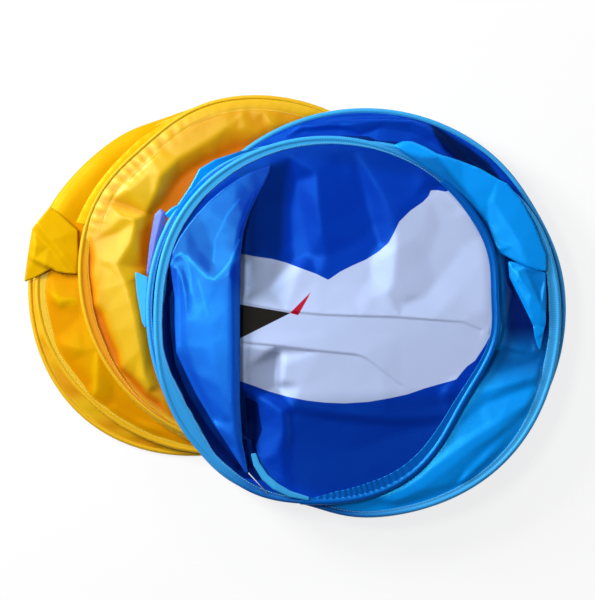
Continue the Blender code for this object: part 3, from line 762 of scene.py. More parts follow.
finish_cloth(
    "tunnel_channel_lip", bm, shaded_yellow, "tunnel_cloth", 0.5, "tunnel_turn_5",
    flat=(0.012, 0.2), area=0.0016, held="folded", rests_on=["tunnel_binding_5"],
)


# The tunnel's shoulder: cloth of the second section that shows left of the mouth.
# At the upper left it is drawn out over the lowest two hoops and hangs over their edge.
def beside(points, line, width):
    """1 on a line, and less to either side of it."""
    return np.exp(-(nearest_on(points, line)[0] / width) ** 2)


low_hoop = tunnel_hoops[1]
shoulder_creases = [
    rim_line(low_hoop, 5.0, 11.8), rim_line(low_hoop, 20.0, 13.6, 90, 280),
    [(-329, 41, 13.5), (-310, 38, 13.5), (-290, 33, 14.5)],
    [(-331, 21, 14), (-323, 9, 17), (-313, 2, 18), (-297, 6, 17), (-286, 10, 16)],
    [(-330, 6, 13.5), (-315, -6, 14), (-289, -18, 15)],
    [(-313, -54, 15.5), (-291, -60, 18), (-275, -63, 18)],
    [(-265, -59, 21), (-266, -94, 20.5), (-268, -118, 17), (-275, -130, 14.5)],
    [(-269, -63, 18), (-271, -94, 16.5), (-272, -115, 14.5)],
    [(-243, -94, 17.5), (-249, -120, 16), (-243, -138, 15)],
    [(-193, -164, 17), (-142, -182, 15)],
    [(-217, -154, 14.5), (-173, -172, 14.5)],
    [(-310, 136, 15), (-297, 122, 14), (-287, 105, 14)],
    [(-310, 153, 17), (-286, 180, 21), (-262, 206, 21), (-230, 228, 20), (-193, 242, 17)],
    [(-266, 166, 18), (-246, 190, 17), (-219, 213, 17), (-193, 229, 16)],
    [(-206, 245, 15), (-182, 252, 18), (-159, 254, 16)],
]
bm, points, degrees, inset = strip_on(low_hoop, SLOT, 2.1, 36, 96.0, 278.0)
lay(points, shoulder_creases, (0.15, 15.0, 2))
loose = np.clip((inset - at_angle(degrees, *second) + 0.5) / 4.0, 0.0, 1.0)
points[:, 2] = low_hoop.z + 0.2 + (points[:, 2] - low_hoop.z - 0.2) * loose
over = at_angle(degrees, [98, 102, 158, 163], [0, 1, 1, 0])
lowest_rim = np.array([spot[:2] for spot in rim_line(tunnel_hoops[0], 0.6, 0.0, 60, 200, 2)])
bearing, inward = around(low_hoop, lowest_rim)
order = np.argsort(bearing % 360)
spare = at_angle(degrees, (bearing % 360)[order], -inward[order])
drawn = np.clip((22.0 - inset) / (22.0 - SLOT), 0.0, 1.0)
laid = inset - over * drawn * (SLOT + spare)
past = np.clip(-laid / np.maximum(spare, 1.0), 0.0, 1.0)
cover = 15.2 - 8.2 * past ** 1.5 + 0.5 * np.sin(np.radians(degrees) * 19) * (1 - past)
ease = over * np.clip((26.0 - inset) / 10.0, 0.0, 1.0)
points[:, 2] = points[:, 2] * (1 - ease) + np.maximum(cover, np.where(laid > 14.0, points[:, 2], 0.0)) * ease
points[:, 0], points[:, 1] = on_hoop(low_hoop, degrees, laid)
for hoop in tunnel_hoops[2:]:
    keep_under(points, hoop, hoop.z - 4.0)
move(bm, points)
soften(bm, 8)
points = places(bm)
# Painted shade: a little all over, more where the cloth lies low and further in over the hoops; painted
# highlights on one facet and along one fold.
shade_depths = 0.25 + np.clip((17.5 - points[:, 2]) / 5.0, 0.0, 1.0) * loose * 0.5
shade_depths = shade_depths * (1 - over) + over * np.interp(inset, [SLOT, 22.0, 40.0], [0.12, 0.3, 0.75])
highlight_facet = [(-331, 21), (-315, 10), (-291, 9), (-291, 1), (-315, -2)]
highlight_fold = [(-267, -59), (-267, -87), (-268, -115), (-275, -131)]
shade_depths -= 0.5 * within(points, highlight_facet, 3.0)
shade_depths = np.clip(shade_depths - 0.6 * beside(points, highlight_fold, 1.6), 0.0, 1.0)
finish_cloth(
    "tunnel_shoulder_cloth", bm, shaded_yellow, "tunnel_cloth", 0.5, "tunnel_turn_2", shade_depths,
    flat=(0.077, 0.64), held="folded", rests_on=["tunnel_binding_2"],
)


# The tunnel's end flap: the loose corner of the end cloth, turned over on the second hoop.
# Sheets with corners, as this one, are cut from a fine flat grid and then folded.
def drop(bm, verts):
    bmesh.ops.delete(bm, geom=verts, context="VERTS")


def cut_sheet(outline, spacing):
    """A flat grid cut to an outline of (x, y) points, with its edge drawn onto the outline."""
    low, high = np.min(outline, 0) - spacing, np.max(outline, 0) + spacing
    across, up = (int(side / spacing) + 1 for side in high - low)
    bm = bmesh.new()
    bmesh.ops.create_grid(bm, x_segments=across, y_segments=up, size=0.5)
    bmesh.ops.scale(bm, vec=(*(high - low), 1.0), verts=bm.verts)
    bmesh.ops.translate(bm, vec=(*((low + high) / 2), 0.0), verts=bm.verts)
    drop(bm, [vert for vert, kept in zip(bm.verts, is_inside(places(bm), outline)) if not kept])
    drop(bm, [vert for vert in bm.verts if not vert.link_faces])
    corners = [Vector((*corner, 0.0)) for corner in outline]
    for vert in bm.verts:
        if vert.is_boundary:
            spots = []
            for a, b in zip(corners, [*corners[1:], corners[0]]):
                t = max(0.0, min(1.0, (vert.co - a).dot(b - a) / (b - a).length_squared))
                spots.append(a + (b - a) * t)
            vert.co = min(spots, key=lambda spot: (spot - vert.co).length)
    return bm


def fold_sheet(outline, spacing, creases, facets=None, rounds=0):
    """Cut a sheet, lay it over its creases and soften it. The points are those before it is softened."""
    bm = cut_sheet(outline, spacing)
    points = places(bm)
    lay(points, creases, facets)
    move(bm, points)
    soften(bm, rounds)
    return bm, points


flap_outline = [(-328, 132), (-313, 120), (-291, 100), (-290, 73), (-290, 41), (-305, 42), (-315, 43),
                (-327, 48), (-345, 38), (-363, 30), (-358, 66), (-352, 102)]
bm, _ = fold_sheet(flap_outline, 1.4, [
    [(-328, 132, 18), (-310, 117, 19.5), (-291, 100, 20)],
    [(-352, 102, 19), (-342, 105, 23), (-326, 86, 24), (-310, 64, 24), (-293, 41, 22)],
    [(-347, 96, 20), (-329, 78, 20.5), (-313, 57, 20.5), (-299, 42, 19)],
    [(-350, 61, 22), (-334, 53, 23), (-319, 46, 22), (-305, 42, 20.5)],
    [(-351, 57, 17.5), (-335, 48, 18), (-326, 46, 18)],
    [(-342, 105, 23), (-347, 80, 22.5), (-350, 61, 22)],
    [(-352, 102, 17.5), (-358, 66, 17), (-363, 30, 15.5)],
    [(-363, 30, 15.5), (-345, 38, 16.5), (-327, 48, 18)],
    [(-291, 100, 20), (-289, 73, 20), (-290, 38, 19)],
    [(-313, 133, 17)], [(-379, 100, 15)], [(-366, 140, 17)], [(-379, 20, 14)], [(-326, 20, 15)],
    [(-273, 20, 18)], [(-273, 113, 19)],
], (0.3, 12.0, 3), 2)
finish_cloth(
    "tunnel_end_flap", bm, shaded_yellow, "tunnel_cloth", 0.6, "tunnel_turn_2", node="tunnel_flap",
    flat=(0.07, 0.09), held="folded", rests_on=["tunnel_binding_2"],
)


# The tent's floor: a round sheet of dark blue taffeta, sewn into the lowest turn's sleeve all round.
# It is drawn tight and keeps only shallow crumples.
def disc_in(hoop, size, segments, start):
    """A flat grid cut to a hoop, from this far inside its outer edge."""
    bm = bmesh.new()
    bmesh.ops.create_grid(bm, x_segments=segments, y_segments=segments, size=size)
    bmesh.ops.translate(bm, vec=(hoop.x, hoop.y, 0.0), verts=bm.verts)
    inset = around(hoop, places(bm))[1]
    drop(bm, [vert for vert, distance in zip(bm.verts, inset) if distance < start])
    return bm


royal_taffeta = taffeta(
    "royal_blue_taffeta", (0.0005, 0.030, 0.40), (0.02, 0.24, 1.0), 2.0, shade_colour=(0.0005, 0.003, 0.05),
)

bm = disc_in(floor_turn, 268.0, 110, 6.0)
points = places(bm)
inset = around(floor_turn, points)[1]
points[:, 2] = 43.0 + crumple(points, 0.7, 40.0, 4) * ramp(inset, 12.0, 32.0)
move(bm, points)
finish_cloth(
    "tent_floor_cloth", bm, royal_taffeta, "tent_blue_cloth", 0.5, "tunnel_turn_5", node="tent_floor_panel",
    flat=(0.53, 0.53), area=0.21, held="stretched", rests_on=["tent_floor_binding"],
)

# The back sheets: blue wall cloth that lies in long folds along the top of the lowest turn.
# Its rim goes into that turn's sleeve, and a wedge of it between folds is painted dark, as painted shade.
back_creases = [
    rim_line(floor_turn, 5.0, 45.2), rim_line(floor_turn, 80.0, 48.0),
    [(-11, 225, 47), (7, 241, 47), (55, 246, 48), (122, 247, 50), (154, 245, 51), (175, 238, 51.5),
     (194, 224, 51.5), (211, 207, 51), (229, 190, 50)],
    [(7, 244, 45.3), (55, 249, 45.3), (122, 250, 45.3), (155, 249, 45.2), (178, 242, 45.2), (198, 227, 45),
     (215, 210, 45), (233, 193, 45)],
    [(11, 236, 48), (41, 239, 49.5), (65, 238, 49.5), (87, 231, 47.5)],
    [(14, 232, 46), (65, 234, 46), (85, 226, 45.4)],
    [(114, 236, 47), (154, 230, 46.5), (181, 217, 46), (205, 197, 46)],
    [(194, 246, 45.4), (234, 221, 46), (263, 193, 46), (281, 169, 45.5)],
    [(141, 257, 46), (194, 242, 47), (242, 213, 47), (271, 182, 46)],
    [(247, 196, 44.8), (267, 172, 44.8)],
]
bm, points, degrees, inset = strip_on(floor_turn, 6.5, 2.0, 34, 5.0, 150.0, 2.3)
lay(points, back_creases, (0.4, 18.0, 5), ramp(inset, 8.0, 18.0))
keep_under(points, wall_turn, 49.4)
move(bm, points)
soften(bm, 1)
shaded_wedge = [
    (181, 244), (202, 230), (234, 209), (261, 188), (278, 164), (253, 172), (223, 185), (199, 206),
    (186, 226),
]
shade_depths = within(points, shaded_wedge, 4.0)
finish_cloth(
    "tent_back_sheet", bm, royal_taffeta, "tent_blue_cloth", 0.5, "tunnel_turn_5", shade_depths,
    flat=(0.072, 0.62), held="folded", rests_on=["tent_floor_binding"],
)

# The cyan wall cloth: the slack between the middle and the top turn, seen along the lower right,
# with one long diagonal fold. Further up the right side it is painted darker, as painted shade.
cyan_creases = [
    rim_line(wall_turn, 5.0, 53.9), rim_line(wall_turn, 14.0, 54.2, -130, -10),
    rim_line(wall_turn, 120.0, 54.0),
    [(247, -112, 58.5), (218, -159, 58.5), (183, -195, 58.5), (139, -236, 58.5), (94, -256, 58),
     (61, -266, 57.5), (31, -267, 57)],
    [(114, -252, 58.5), (141, -235, 59.5), (183, -206, 60), (223, -176, 60.5), (266, -150, 60)],
    [(119, -258, 60), (146, -242, 61.8), (189, -212, 62.6), (230, -183, 62.6), (274, -156, 61.5),
     (310, -132, 59)],
    [(138, -260, 59.7), (165, -247, 61), (202, -220, 62), (237, -192, 62), (274, -167, 60.8),
     (306, -142, 57)],
    [(146, -267, 57.6), (170, -260, 57.8), (202, -239, 58), (231, -215, 58), (261, -186, 57.5),
     (294, -158, 55.5)],
    [(121, -275, 55.5), (143, -276, 57), (181, -264, 58.5), (221, -238, 58.5), (253, -207, 58.5),
     (282, -171, 57), (303, -146, 55.5)],
    [(247, -120, 59), (281, -108, 61), (323, -95, 59.5)],
    [(254, -130, 57), (287, -118, 57), (325, -106, 56)],
    [(270, -54, 54), (301, -62, 55.5), (329, -60, 54)],
    [(47, -272, 56), (81, -276, 57), (114, -282, 55.5)],
    rim_line(wall_turn, 16.0, 53.0, 0, 70),
    [(267, 66, 55.5), (282, 25, 57), (265, -28, 55.5)],
    [(279, 57, 52.4), (291, 20, 51.8), (281, -27, 51.8), (271, -44, 52.2)],
    [(301, -20, 51.8), (314, -47, 51.8), (325, -74, 52)],
    [(281, -60, 52.2), (301, -64, 53), (318, -60, 52.2)],
    [(270, -90, 55), (294, -84, 54), (327, -76, 53)],
    [(251, 70, 55.5), (261, 20, 54.5), (263, -20, 54)],
    [(221, 145, 55), (242, 121, 54), (255, 89, 52.6)],
    [(234, 120, 52.6), (250, 86, 52.2)],
]
bm, points, degrees, inset = strip_on(wall_turn, 6.5, 2.0, 50, -124.0, 60.0)
lay(points, cyan_creases, (0.3, 18.0, 6), ramp(inset, 8.0, 20.0))
under_roof = np.interp(degrees, [-40.0, -14.0], [26.0, 9.0])
ceiling = np.interp(degrees, [-40.0, -14.0], [58.6, 57.0])
inside_roof = around(roof_turn, points)[1]
points[:, 2] = np.minimum(points[:, 2], ceiling - 0.45 * np.clip(inside_roof, -80.0, under_roof))
under_tape = inset < at_angle(degrees, *wall_widths) + 2.5
points[:, 2] = np.where(under_tape, np.minimum(points[:, 2], wall_turn.z + 0.1), points[:, 2])
move(bm, points)
soften(bm, 4)
x, y = points[:, 0], points[:, 1]
# Painted shade: darker further up the right side, less in one patch and beside the top turn's edge.
shade_depths = np.interp(y, [-116.0, -76.0, -50.0, -30.0], [0.0, 0.72, 0.85, 1.0])
shade_depths -= 0.2 * np.exp(-((y + 62.0) / 12.0) ** 2) * np.exp(-((x - 302.0) / 22.0) ** 2)
shade_depths -= 0.45 * np.exp(-((inside_roof + 2.0) / 7.0) ** 2) * (y > -60.0)
finish_cloth(
    "tent_cyan_side", bm, cyan_taffeta, "tent_cyan_cloth", 0.5, "tent_wall_turn", shade_depths,
    flat=(0.104, 0.72), held="folded", rests_on=["tent_wall_binding"],
)

# The pleats at the upper right and the right: cyan wall cloth doubled over, loose by the middle turn.
# Each is a sheet of its own, folded along its creases, with shade painted darker where it turns under.
upper_outline = [
    (130, 211), (144, 217), (156, 217), (173, 210), (189, 201), (221, 191), (247, 181), (271, 167),
    (283, 161), (301, 140), (318, 109), (335, 66), (335, 44), (322, 46), (310, 50), (297, 56), (275, 68),
    (267, 79), (256, 110), (234, 133), (208, 158), (177, 180), (135, 208),
]
bm, points = fold_sheet(upper_outline, 1.6, [
    [(129, 212, 61), (144, 217, 63), (156, 218, 64), (189, 201, 63), (221, 191, 60), (271, 168, 58.5),
     (285, 161, 58), (302, 140, 58), (319, 109, 58), (337, 66, 58), (337, 42, 58)],
    [(134, 208, 65.2), (177, 180, 65.2), (208, 157, 63), (234, 132, 58), (255, 109, 56.5), (266, 78, 57),
     (275, 68, 58.5), (297, 56, 60), (310, 49, 60)],
    [(143, 215, 65.8), (189, 198, 66), (203, 174, 65.4), (227, 141, 62), (247, 121, 60.5), (258, 94, 60.5),
     (271, 73, 60.5)],
    [(255, 134, 59.8), (274, 105, 59.8), (290, 78, 60), (301, 57, 60.2)],
    [(265, 136, 60.8), (285, 105, 62), (301, 78, 62.5), (311, 54, 61.5)],
    [(114, 220, 60)], [(141, 233, 60)], [(354, 86, 57)], [(354, 20, 57)], [(247, 60, 55)],
], (0.15, 18.0, 8), 5)
shadowed = [(127, 210), (167, 196), (190, 196), (210, 172), (234, 145), (251, 121), (259, 94), (273, 68),
            (255, 73), (234, 113), (194, 153)]
finish_cloth(
    "tent_upper_pleat_cloth", bm, cyan_taffeta, "tent_cyan_cloth", 0.6, "tent_wall_turn",
    0.55 * within(points, shadowed, 6.0), "tent_upper_pleat",
    flat=(0.1, 0.19), area=0.0095, held="folded", rests_on=["tent_wall_binding"],
)

right_outline = [
    (284, 58), (297, 56), (310, 50), (334, 43), (335, 6), (334, -26), (331, -38), (327, -63), (323, -55),
    (319, -42), (317, -27), (301, 6), (286, 36),
]
bm, points = fold_sheet(right_outline, 1.2, [
    [(283, 58, 57), (310, 49, 59), (335, 44, 57.5), (337, -26, 57.5), (331, -39, 58)],
    [(285, 56, 59), (301, 32, 63), (314, 14, 62.5), (329, -3, 61)],
    [(314, 40, 57.5), (327, 13, 57.5)],
    [(286, 36, 57), (301, 5, 57), (318, -26, 57.5), (329, -32, 57)],
    [(294, 29, 60), (311, -3, 61.5), (325, -23, 59.5)],
    [(290, 52, 59), (297, 44, 62), (299, 30, 61)],
    [(317, -27, 60.5), (330, -38, 60)],
    [(321, -46, 58), (327, -63, 56)],
    [(261, 60, 56)], [(274, -7, 56)], [(301, -60, 56)], [(341, -74, 56)], [(349, 6, 56)], [(349, 60, 56)],
], (0.35, 9.0, 9), 3)
# Painted shade where the pleat turns under.
darker = [(305, 49), (339, 44), (339, -18), (329, -6), (317, 22)]
finish_cloth(
    "tent_right_pleat_cloth", bm, cyan_taffeta, "tent_cyan_cloth", 0.6, "tent_wall_turn",
    0.45 * within(points, darker, 4.0), "tent_right_pleat",
    flat=(0.05, 0.12), area=0.0035, held="folded", rests_on=["tent_wall_binding"],
)

# The roof panel: printed taffeta, royal blue with a white field, loose in the top turn.
# The white field's outline and the two small triangles are held as distances on the cloth.
white_outline = [
    (-119, 73), (-71, 68), (-51, 64), (-30, 61), (-11, 56), (7, 49), (29, 41), (45, 33), (61, 44),
    (77, 52), (95, 60), (111, 70), (125, 82), (133, 97), (139, 110), (154, 125), (170, 136), (178, 144),
    (181, 152), (191, 152), (201, 150), (207, 153), (234, 166), (301, 140), (301, -34), (261, -39),
    (253, -54), (240, -74), (229, -82), (222, -90), (215, -99), (205, -102), (194, -105), (173, -111),
    (150, -119), (127, -124), (98, -129), (67, -131), (41, -130), (15, -127), (-10, -122), (-35, -115),
    (-53, -108), (-70, -102), (-119, -87),
]
# The navy strip beside the side panel's left edge and round its lower tip is painted shadow, not print.
panel_gap_outline = [
    (-182, 57), (-158, 62), (-150, 6), (-147, -60), (-134, -107), (-105, -160), (-78, -200), (-63, -216),
    (-63, -160), (-66, -122), (-49, -130), (-43, -167), (-51, -188), (-47, -210), (-43, -234),
    (-78, -228), (-119, -183), (-159, -111), (-179, -34),
]
dark_outline = [(-106, 4), (-69, 0), (-5, -11), (-69, -43), (-106, -63)]
red_outline = [(-6, -11), (23, 18), (5, -14)]
upper_fold = [(-69, 4, 60.5), (-10, -8, 63), (35, -12, 64.5), (87, -14, 65), (139, -15, 65),
              (185, -19, 64.5), (223, -21, 63.5), (258, -35, 62)]
lower_fold = [(-70, -48, 61.5), (-24, -53, 63.5), (35, -60, 64.5), (81, -65, 64.5), (95, -69, 64.5),
              (118, -86, 63.5), (141, -104, 61.5)]
roof_creases = [
    rim_line(roof_turn, 5.0, 61.2), rim_line(roof_turn, 17.0, 62.6, 60, 130),
    rim_line(roof_turn, 17.0, 60.6, 150, 310), rim_line(roof_turn, 11.0, 61.2, -40, 50),
    [(-65, 65, 61), (-63, 106, 63), (-58, 125, 64.6), (-50, 141, 64.9), (-41, 157, 64.3), (-30, 186, 63.5)],
    [(-38, 86, 57.5), (-43, 62, 57.5)],
    [(-19, 160, 59), (-18, 133, 55.5), (-19, 93, 54), (-22, 62, 54.5)],
    [(-9, 160, 57), (-6, 133, 51.5), (-5, 86, 50), (-1, 57, 52)],
    [(-7, 193, 62), (3, 166, 55), (7, 126, 53), (13, 93, 53), (21, 66, 54.5)],
    [(-6, 197, 63.5), (11, 184, 64), (29, 174, 64), (30, 136, 63.5), (35, 98, 61.5), (42, 64, 58)],
    [(54, 204, 62.8), (67, 160, 60), (77, 120, 57.5), (87, 86, 56.5), (101, 65, 57)],
    [(82, 197, 62), (94, 150, 57), (105, 106, 55), (114, 80, 56)],
    [(85, 197, 63), (105, 165, 64), (122, 133, 64.5), (127, 106, 63), (122, 86, 60)],
    [(141, 132, 65), (157, 140, 64.5), (173, 164, 64)],
    [(180, 153, 62), (190, 157, 58), (203, 158, 62)],
    [(174, 177, 63), (194, 170, 57.5), (207, 153, 61)],
    [(134, 106, 64), (135, 73, 65), (132, 29, 65), (123, 16, 64), (103, 10, 62.5), (81, 4, 62)],
    [(121, 76, 60), (105, 57, 58.5), (102, 37, 58.5), (90, 24, 59.5)],
    [(-59, 62, 59), (-57, 44, 59.5), (-54, 20, 60)],
    [(-67, 57, 57), (-65, 20, 58.5)],
    [(-30, 57, 56.5), (-35, 20, 58)],
    [(7, 48, 59), (31, 36, 59), (51, 29, 59)],
    [(167, 93, 62), (178, 62, 59), (189, 32, 57.5), (174, 12, 59.5)],
    [(214, 140, 61), (227, 120, 63.5), (247, 86, 62.5)],
    [(181, 141, 64), (210, 118, 63.5), (246, 88, 62)],
    [(194, 105, 60.5), (225, 78, 60)],
    [(221, 20, 60.5), (247, 26, 62)],
    [(143, 0, 61), (150, 11, 63)],
    upper_fold,
    [(-65, 1, 60.2), (-7, -10, 61.8), (35, -14, 63), (87, -16, 63.4), (139, -18, 63.4), (185, -21, 63),
     (221, -24, 62.4), (247, -34, 61.4)],
    [(-43, -35, 61.5), (47, -36, 63.8), (141, -39, 63.5), (207, -44, 62.5)],
    lower_fold,
    [(-69, -51, 60.5), (-25, -56, 61.4), (35, -63, 62.6), (81, -67, 62.8), (94, -72, 62.9),
     (116, -89, 62.2), (138, -106, 60.8)],
    [(-15, -62, 58), (-16, -80, 60.5), (-18, -102, 60.5)],
    [(-21, -64, 52), (-22, -84, 50.5), (-23, -108, 51.5)],
    [(-67, -59, 62), (-65, -84, 62.5), (-63, -106, 62)],
    [(47, -94, 61), (74, -116, 61)],
    [(7, -107, 60.5), (67, -132, 60.5)],
    [(-61, -120, 53), (-57, -154, 50), (-57, -188, 50)],
    [(-49, -122, 57), (-33, -130, 60.5), (-15, -142, 63.5), (-13, -167, 63), (-18, -204, 62),
     (-13, -231, 61)],
    [(-47, -135, 56), (-45, -160, 55.5), (-49, -187, 55), (-46, -204, 57)],
    [(-42, -210, 58), (-30, -203, 61), (-19, -206, 61.5)],
    [(-5, -147, 58), (-2, -180, 57.5), (-6, -214, 58.5)],
    [(-3, -136, 60), (47, -144, 61.5), (122, -151, 62), (203, -147, 61.5)],
    [(7, -144, 58.5), (47, -152, 58.2), (122, -160, 58.8), (181, -159, 59.5)],
    [(74, -194, 58), (134, -174, 58.5)],
    [(202, -116, 63), (203, -132, 61)],
    [(191, -114, 60.5), (194, -132, 60)],
    [(253, 60, 62.5), (255, -7, 62.5), (251, -39, 62)],
    [(242, -67, 61.5), (223, -87, 61)],
    [(-166, 40, 50), (-169, 6, 48), (-167, -34, 48), (-162, -67, 48), (-146, -107, 48), (-119, -154, 48),
     (-89, -196, 49), (-73, -215, 52)],
    [(-126, 6, 57), (-106, -60, 57), (-93, -127, 57)], [(-106, 86, 58), (-86, 140, 60)],
]
ROOF_EDGE = 5.5
bm = disc_in(roof_turn, 256.0, 236, ROOF_EDGE)
points = places(bm)
inset = around(roof_turn, points)[1]
centre = np.array([roof_turn.x, roof_turn.y])
reach = np.maximum(np.hypot(*(points[:, :2] - centre).T), 1e-6)
edge = np.array([vert.is_boundary for vert in bm.verts])
scale = np.where(edge, (reach + inset - ROOF_EDGE) / reach, 1.0)
points[:, :2] = centre + (points[:, :2] - centre) * scale[:, None]
move(bm, points)
for line in (upper_fold, lower_fold):
    close = nearest_on(places(bm), line)[0] < 6.0
    held = {vert for vert, near in zip(bm.verts, close) if near}
    edges = [edge for edge in bm.edges if held.issuperset(edge.verts)]
    bmesh.ops.subdivide_edges(bm, edges=edges, cuts=1, use_grid_fill=True)
points = places(bm)
inset = around(roof_turn, points)[1]
lay(points, roof_creases, (0.12, 17.0, 10), ramp(inset, 8.0, 18.0))
move(bm, points)
soften(bm, 2)
soften(bm, 7, [upper_fold, lower_fold])
points = places(bm)

printed, tree, shader = new_material("printed_taffeta", {"IOR": 1.75, "Specular IOR Level": 0.7})
cloth = add_weave(tree, shader, 0.04)
ink, gleam = (0.0005, 0.028, 0.41), (0.025, 0.27, 1.0)
# Each mark is print, save the navy one, which is painted shadow.
for attribute, over_ink, over_gleam in (
    ("white_field", (0.48, 0.57, 0.84), (0.35, 0.6, 1.0)),
    ("gap_shadow", (0.0005, 0.009, 0.11), (0.0, 0.03, 0.3)),
    ("dark_mark", (0.008, 0.007, 0.006), (0.10, 0.09, 0.08)),
    ("red_mark", (0.40, 0.002, 0.02), (0.6, 0.1, 0.15)),
):
    distance = add_node(tree, "Attribute", attribute_name=attribute).outputs["Fac"]
    edge = add_node(tree, "MapRange", {"Value": distance, "From Min": -0.35, "From Max": 0.35}).outputs[0]
    ink = mix_colours(tree, edge, ink, over_ink)
    gleam = mix_colours(tree, edge, gleam, over_gleam)
# Painted shade darkens the ink by up to three quarters.
shade_on_roof = add_node(tree, "Attribute", attribute_name="roof_shade").outputs["Fac"]
keep = add_node(tree, "Math", {0: shade_on_roof, 1: -0.75, 2: 1.0}, operation="MULTIPLY_ADD").outputs[0]
shaded = add_node(tree, "VectorMath", {0: ink, "Scale": keep}, operation="SCALE").outputs[0]
feed(tree, cloth, {"Colour": shaded})
feed(tree, shader, {"Specular Tint": gleam})

# Painted shade: darker soft patches on the print, and thin painted shadows just below the two folds.
roof_shading = np.zeros(len(points))
for outline, share, fade in (
    ([(-75, 180), (-6, 193), (-14, 140), (-17, 57), (-75, 62)], 0.78, 16.0),
    ([(-83, 73), (-11, 65), (-19, 1), (-83, 4)], 0.6, 30.0),
    ([(-78, -55), (-18, -63), (-19, -124), (-78, -106)], 0.42, 5.0),
    ([(-78, -106), (-50, -124), (-50, -220), (-78, -220)], 0.9, 8.0),
    ([(-3, -127), (234, -116), (167, -220), (47, -260), (-6, -234)], 0.42, 26.0),
    ([(-73, 206), (7, 220), (167, 206), (194, 166), (7, 196), (-59, 164)], 0.3, 20.0),
):
    cover = within(points, outline, fade)
    roof_shading = np.maximum(roof_shading, share * cover * cover * (3.0 - 2.0 * cover))
for line in (upper_fold, lower_fold):
    roof_shading += 0.08 * beside(points, [(x, y - 1.6) for x, y, _ in line], 1.5)
roof = finish_cloth(
    "tent_roof_cloth", bm, printed, "tent_printed_cloth", 0.5, "tent_roof_turn", node="tent_roof_panel",
    flat=(0.48, 0.48), area=0.178, held="laid", rests_on=["tent_roof_binding"],
)
mark(roof, "roof_shade", roof_shading)
for title, outline in (
    ("white_field", white_outline), ("gap_shadow", panel_gap_outline),
    ("dark_mark", dark_outline), ("red_mark", red_outline),
):
    mark(roof, title, signed_distance(points, outline))

# The side panel: blue taffeta drawn over from the left and doubled back along one straight fold.
# Its crest and its long ridge stay crisp.
# It takes a lighter, glossier copy of the royal blue taffeta: painted light where it faces the lamps.
lit_royal_taffeta = taffeta(
    "lit_royal_taffeta", (0.006, 0.13, 0.84), (0.05, 0.58, 1.0), 2.2, shade_colour=(0.0005, 0.012, 0.36), shade_gloss_green=0.42,
)
side_outline = [
    (-165, 52), (-162, 70), (-153, 89), (-141, 106), (-129, 121), (-113, 138), (-97, 152), (-78, 165),
    (-59, 176), (-43, 182), (-30, 186), (-33, 174), (-41, 157), (-50, 141), (-59, 122), (-67, 97),
    (-71, 66), (-72, 6), (-72, -60), (-72, -127), (-69, -180), (-61, -226), (-65, -223), (-85, -192),
    (-109, -155), (-131, -118), (-146, -87), (-157, -63), (-159, -27), (-159, 9),
]
crest = [
    (-161, 65, 64.6), (-143, 70, 66.8), (-127, 54, 70), (-112, 38, 73), (-102, 32, 74.6), (-89, 37, 75.6),
]
long_ridge = [
    (-156, 48, 66.8), (-149, 32, 69), (-145, 13, 70), (-143, -20, 69.5), (-142, -54, 68.4), (-131, -90, 68),
    (-115, -122, 68.2),
]
side_creases = [
    [(-166, 52, 61), (-160, 9, 61), (-158, -63, 61), (-147, -88, 61), (-131, -119, 61), (-110, -156, 61),
     (-86, -192, 61.5), (-65, -224, 62.5)],
    [(-162, 52, 64), (-155, 9, 64), (-153, -60, 64), (-142, -87, 64), (-126, -116, 64), (-105, -152, 64),
     (-82, -188, 64)],
    [(-43, 165, 64), (-53, 148, 65.5), (-61, 133, 68), (-68, 118, 71), (-74, 97, 73.5), (-78, 73, 75),
     (-85, 43, 76), (-85, 6, 76), (-85, -60, 76), (-85, -124, 75), (-81, -155, 73), (-75, -187, 70),
     (-69, -214, 66), (-63, -223, 64)],
    [(-30, 186, 63.9), (-41, 157, 64.3), (-51, 141, 64.8), (-59, 122, 66.5), (-65, 97, 68), (-70, 66, 69),
     (-71, 6, 69), (-71, -60, 69), (-71, -127, 69), (-68, -180, 66), (-59, -227, 63)],
    [(-63, 121, 69.5), (-69, 97, 71.5), (-74, 66, 73.3), (-77, 6, 74), (-77, -60, 74), (-77, -127, 73.5),
     (-73, -180, 69)],
    crest,
    [(-145, 89, 65.2), (-126, 74, 67), (-110, 58, 69.6), (-97, 52, 72.8)],
    long_ridge,
    [(-147, 57, 66), (-139, 28, 68.2), (-134, 6, 69.4), (-131, -23, 70.8)],
    [(-138, 54, 69), (-126, 28, 71.6), (-117, 2, 73), (-110, -31, 74), (-109, -60, 73.8),
     (-102, -107, 73.8), (-91, -147, 72.4)],
    [(-105, -159, 66), (-89, -175, 69.5)], [(-81, -187, 66)],
    [(-162, 70, 63.6), (-153, 89, 63.6), (-141, 106, 63.6), (-129, 121, 63.6), (-113, 138, 63.6),
     (-97, 152, 63.6), (-78, 165, 63.6), (-59, 176, 63.7), (-43, 182, 63.8)],
    [(-110, 120, 67), (-97, 92, 70)], [(-78, 140, 67)],
    [(-193, 6, 60)], [(-126, -207, 60)], [(-153, 140, 62)], [(-46, -234, 62)], [(7, 166, 60)],
]
bm, points = fold_sheet(side_outline, 1.5, side_creases, (0.12, 14.0, 11), 3)
soften(bm, 10, [crest, long_ridge])
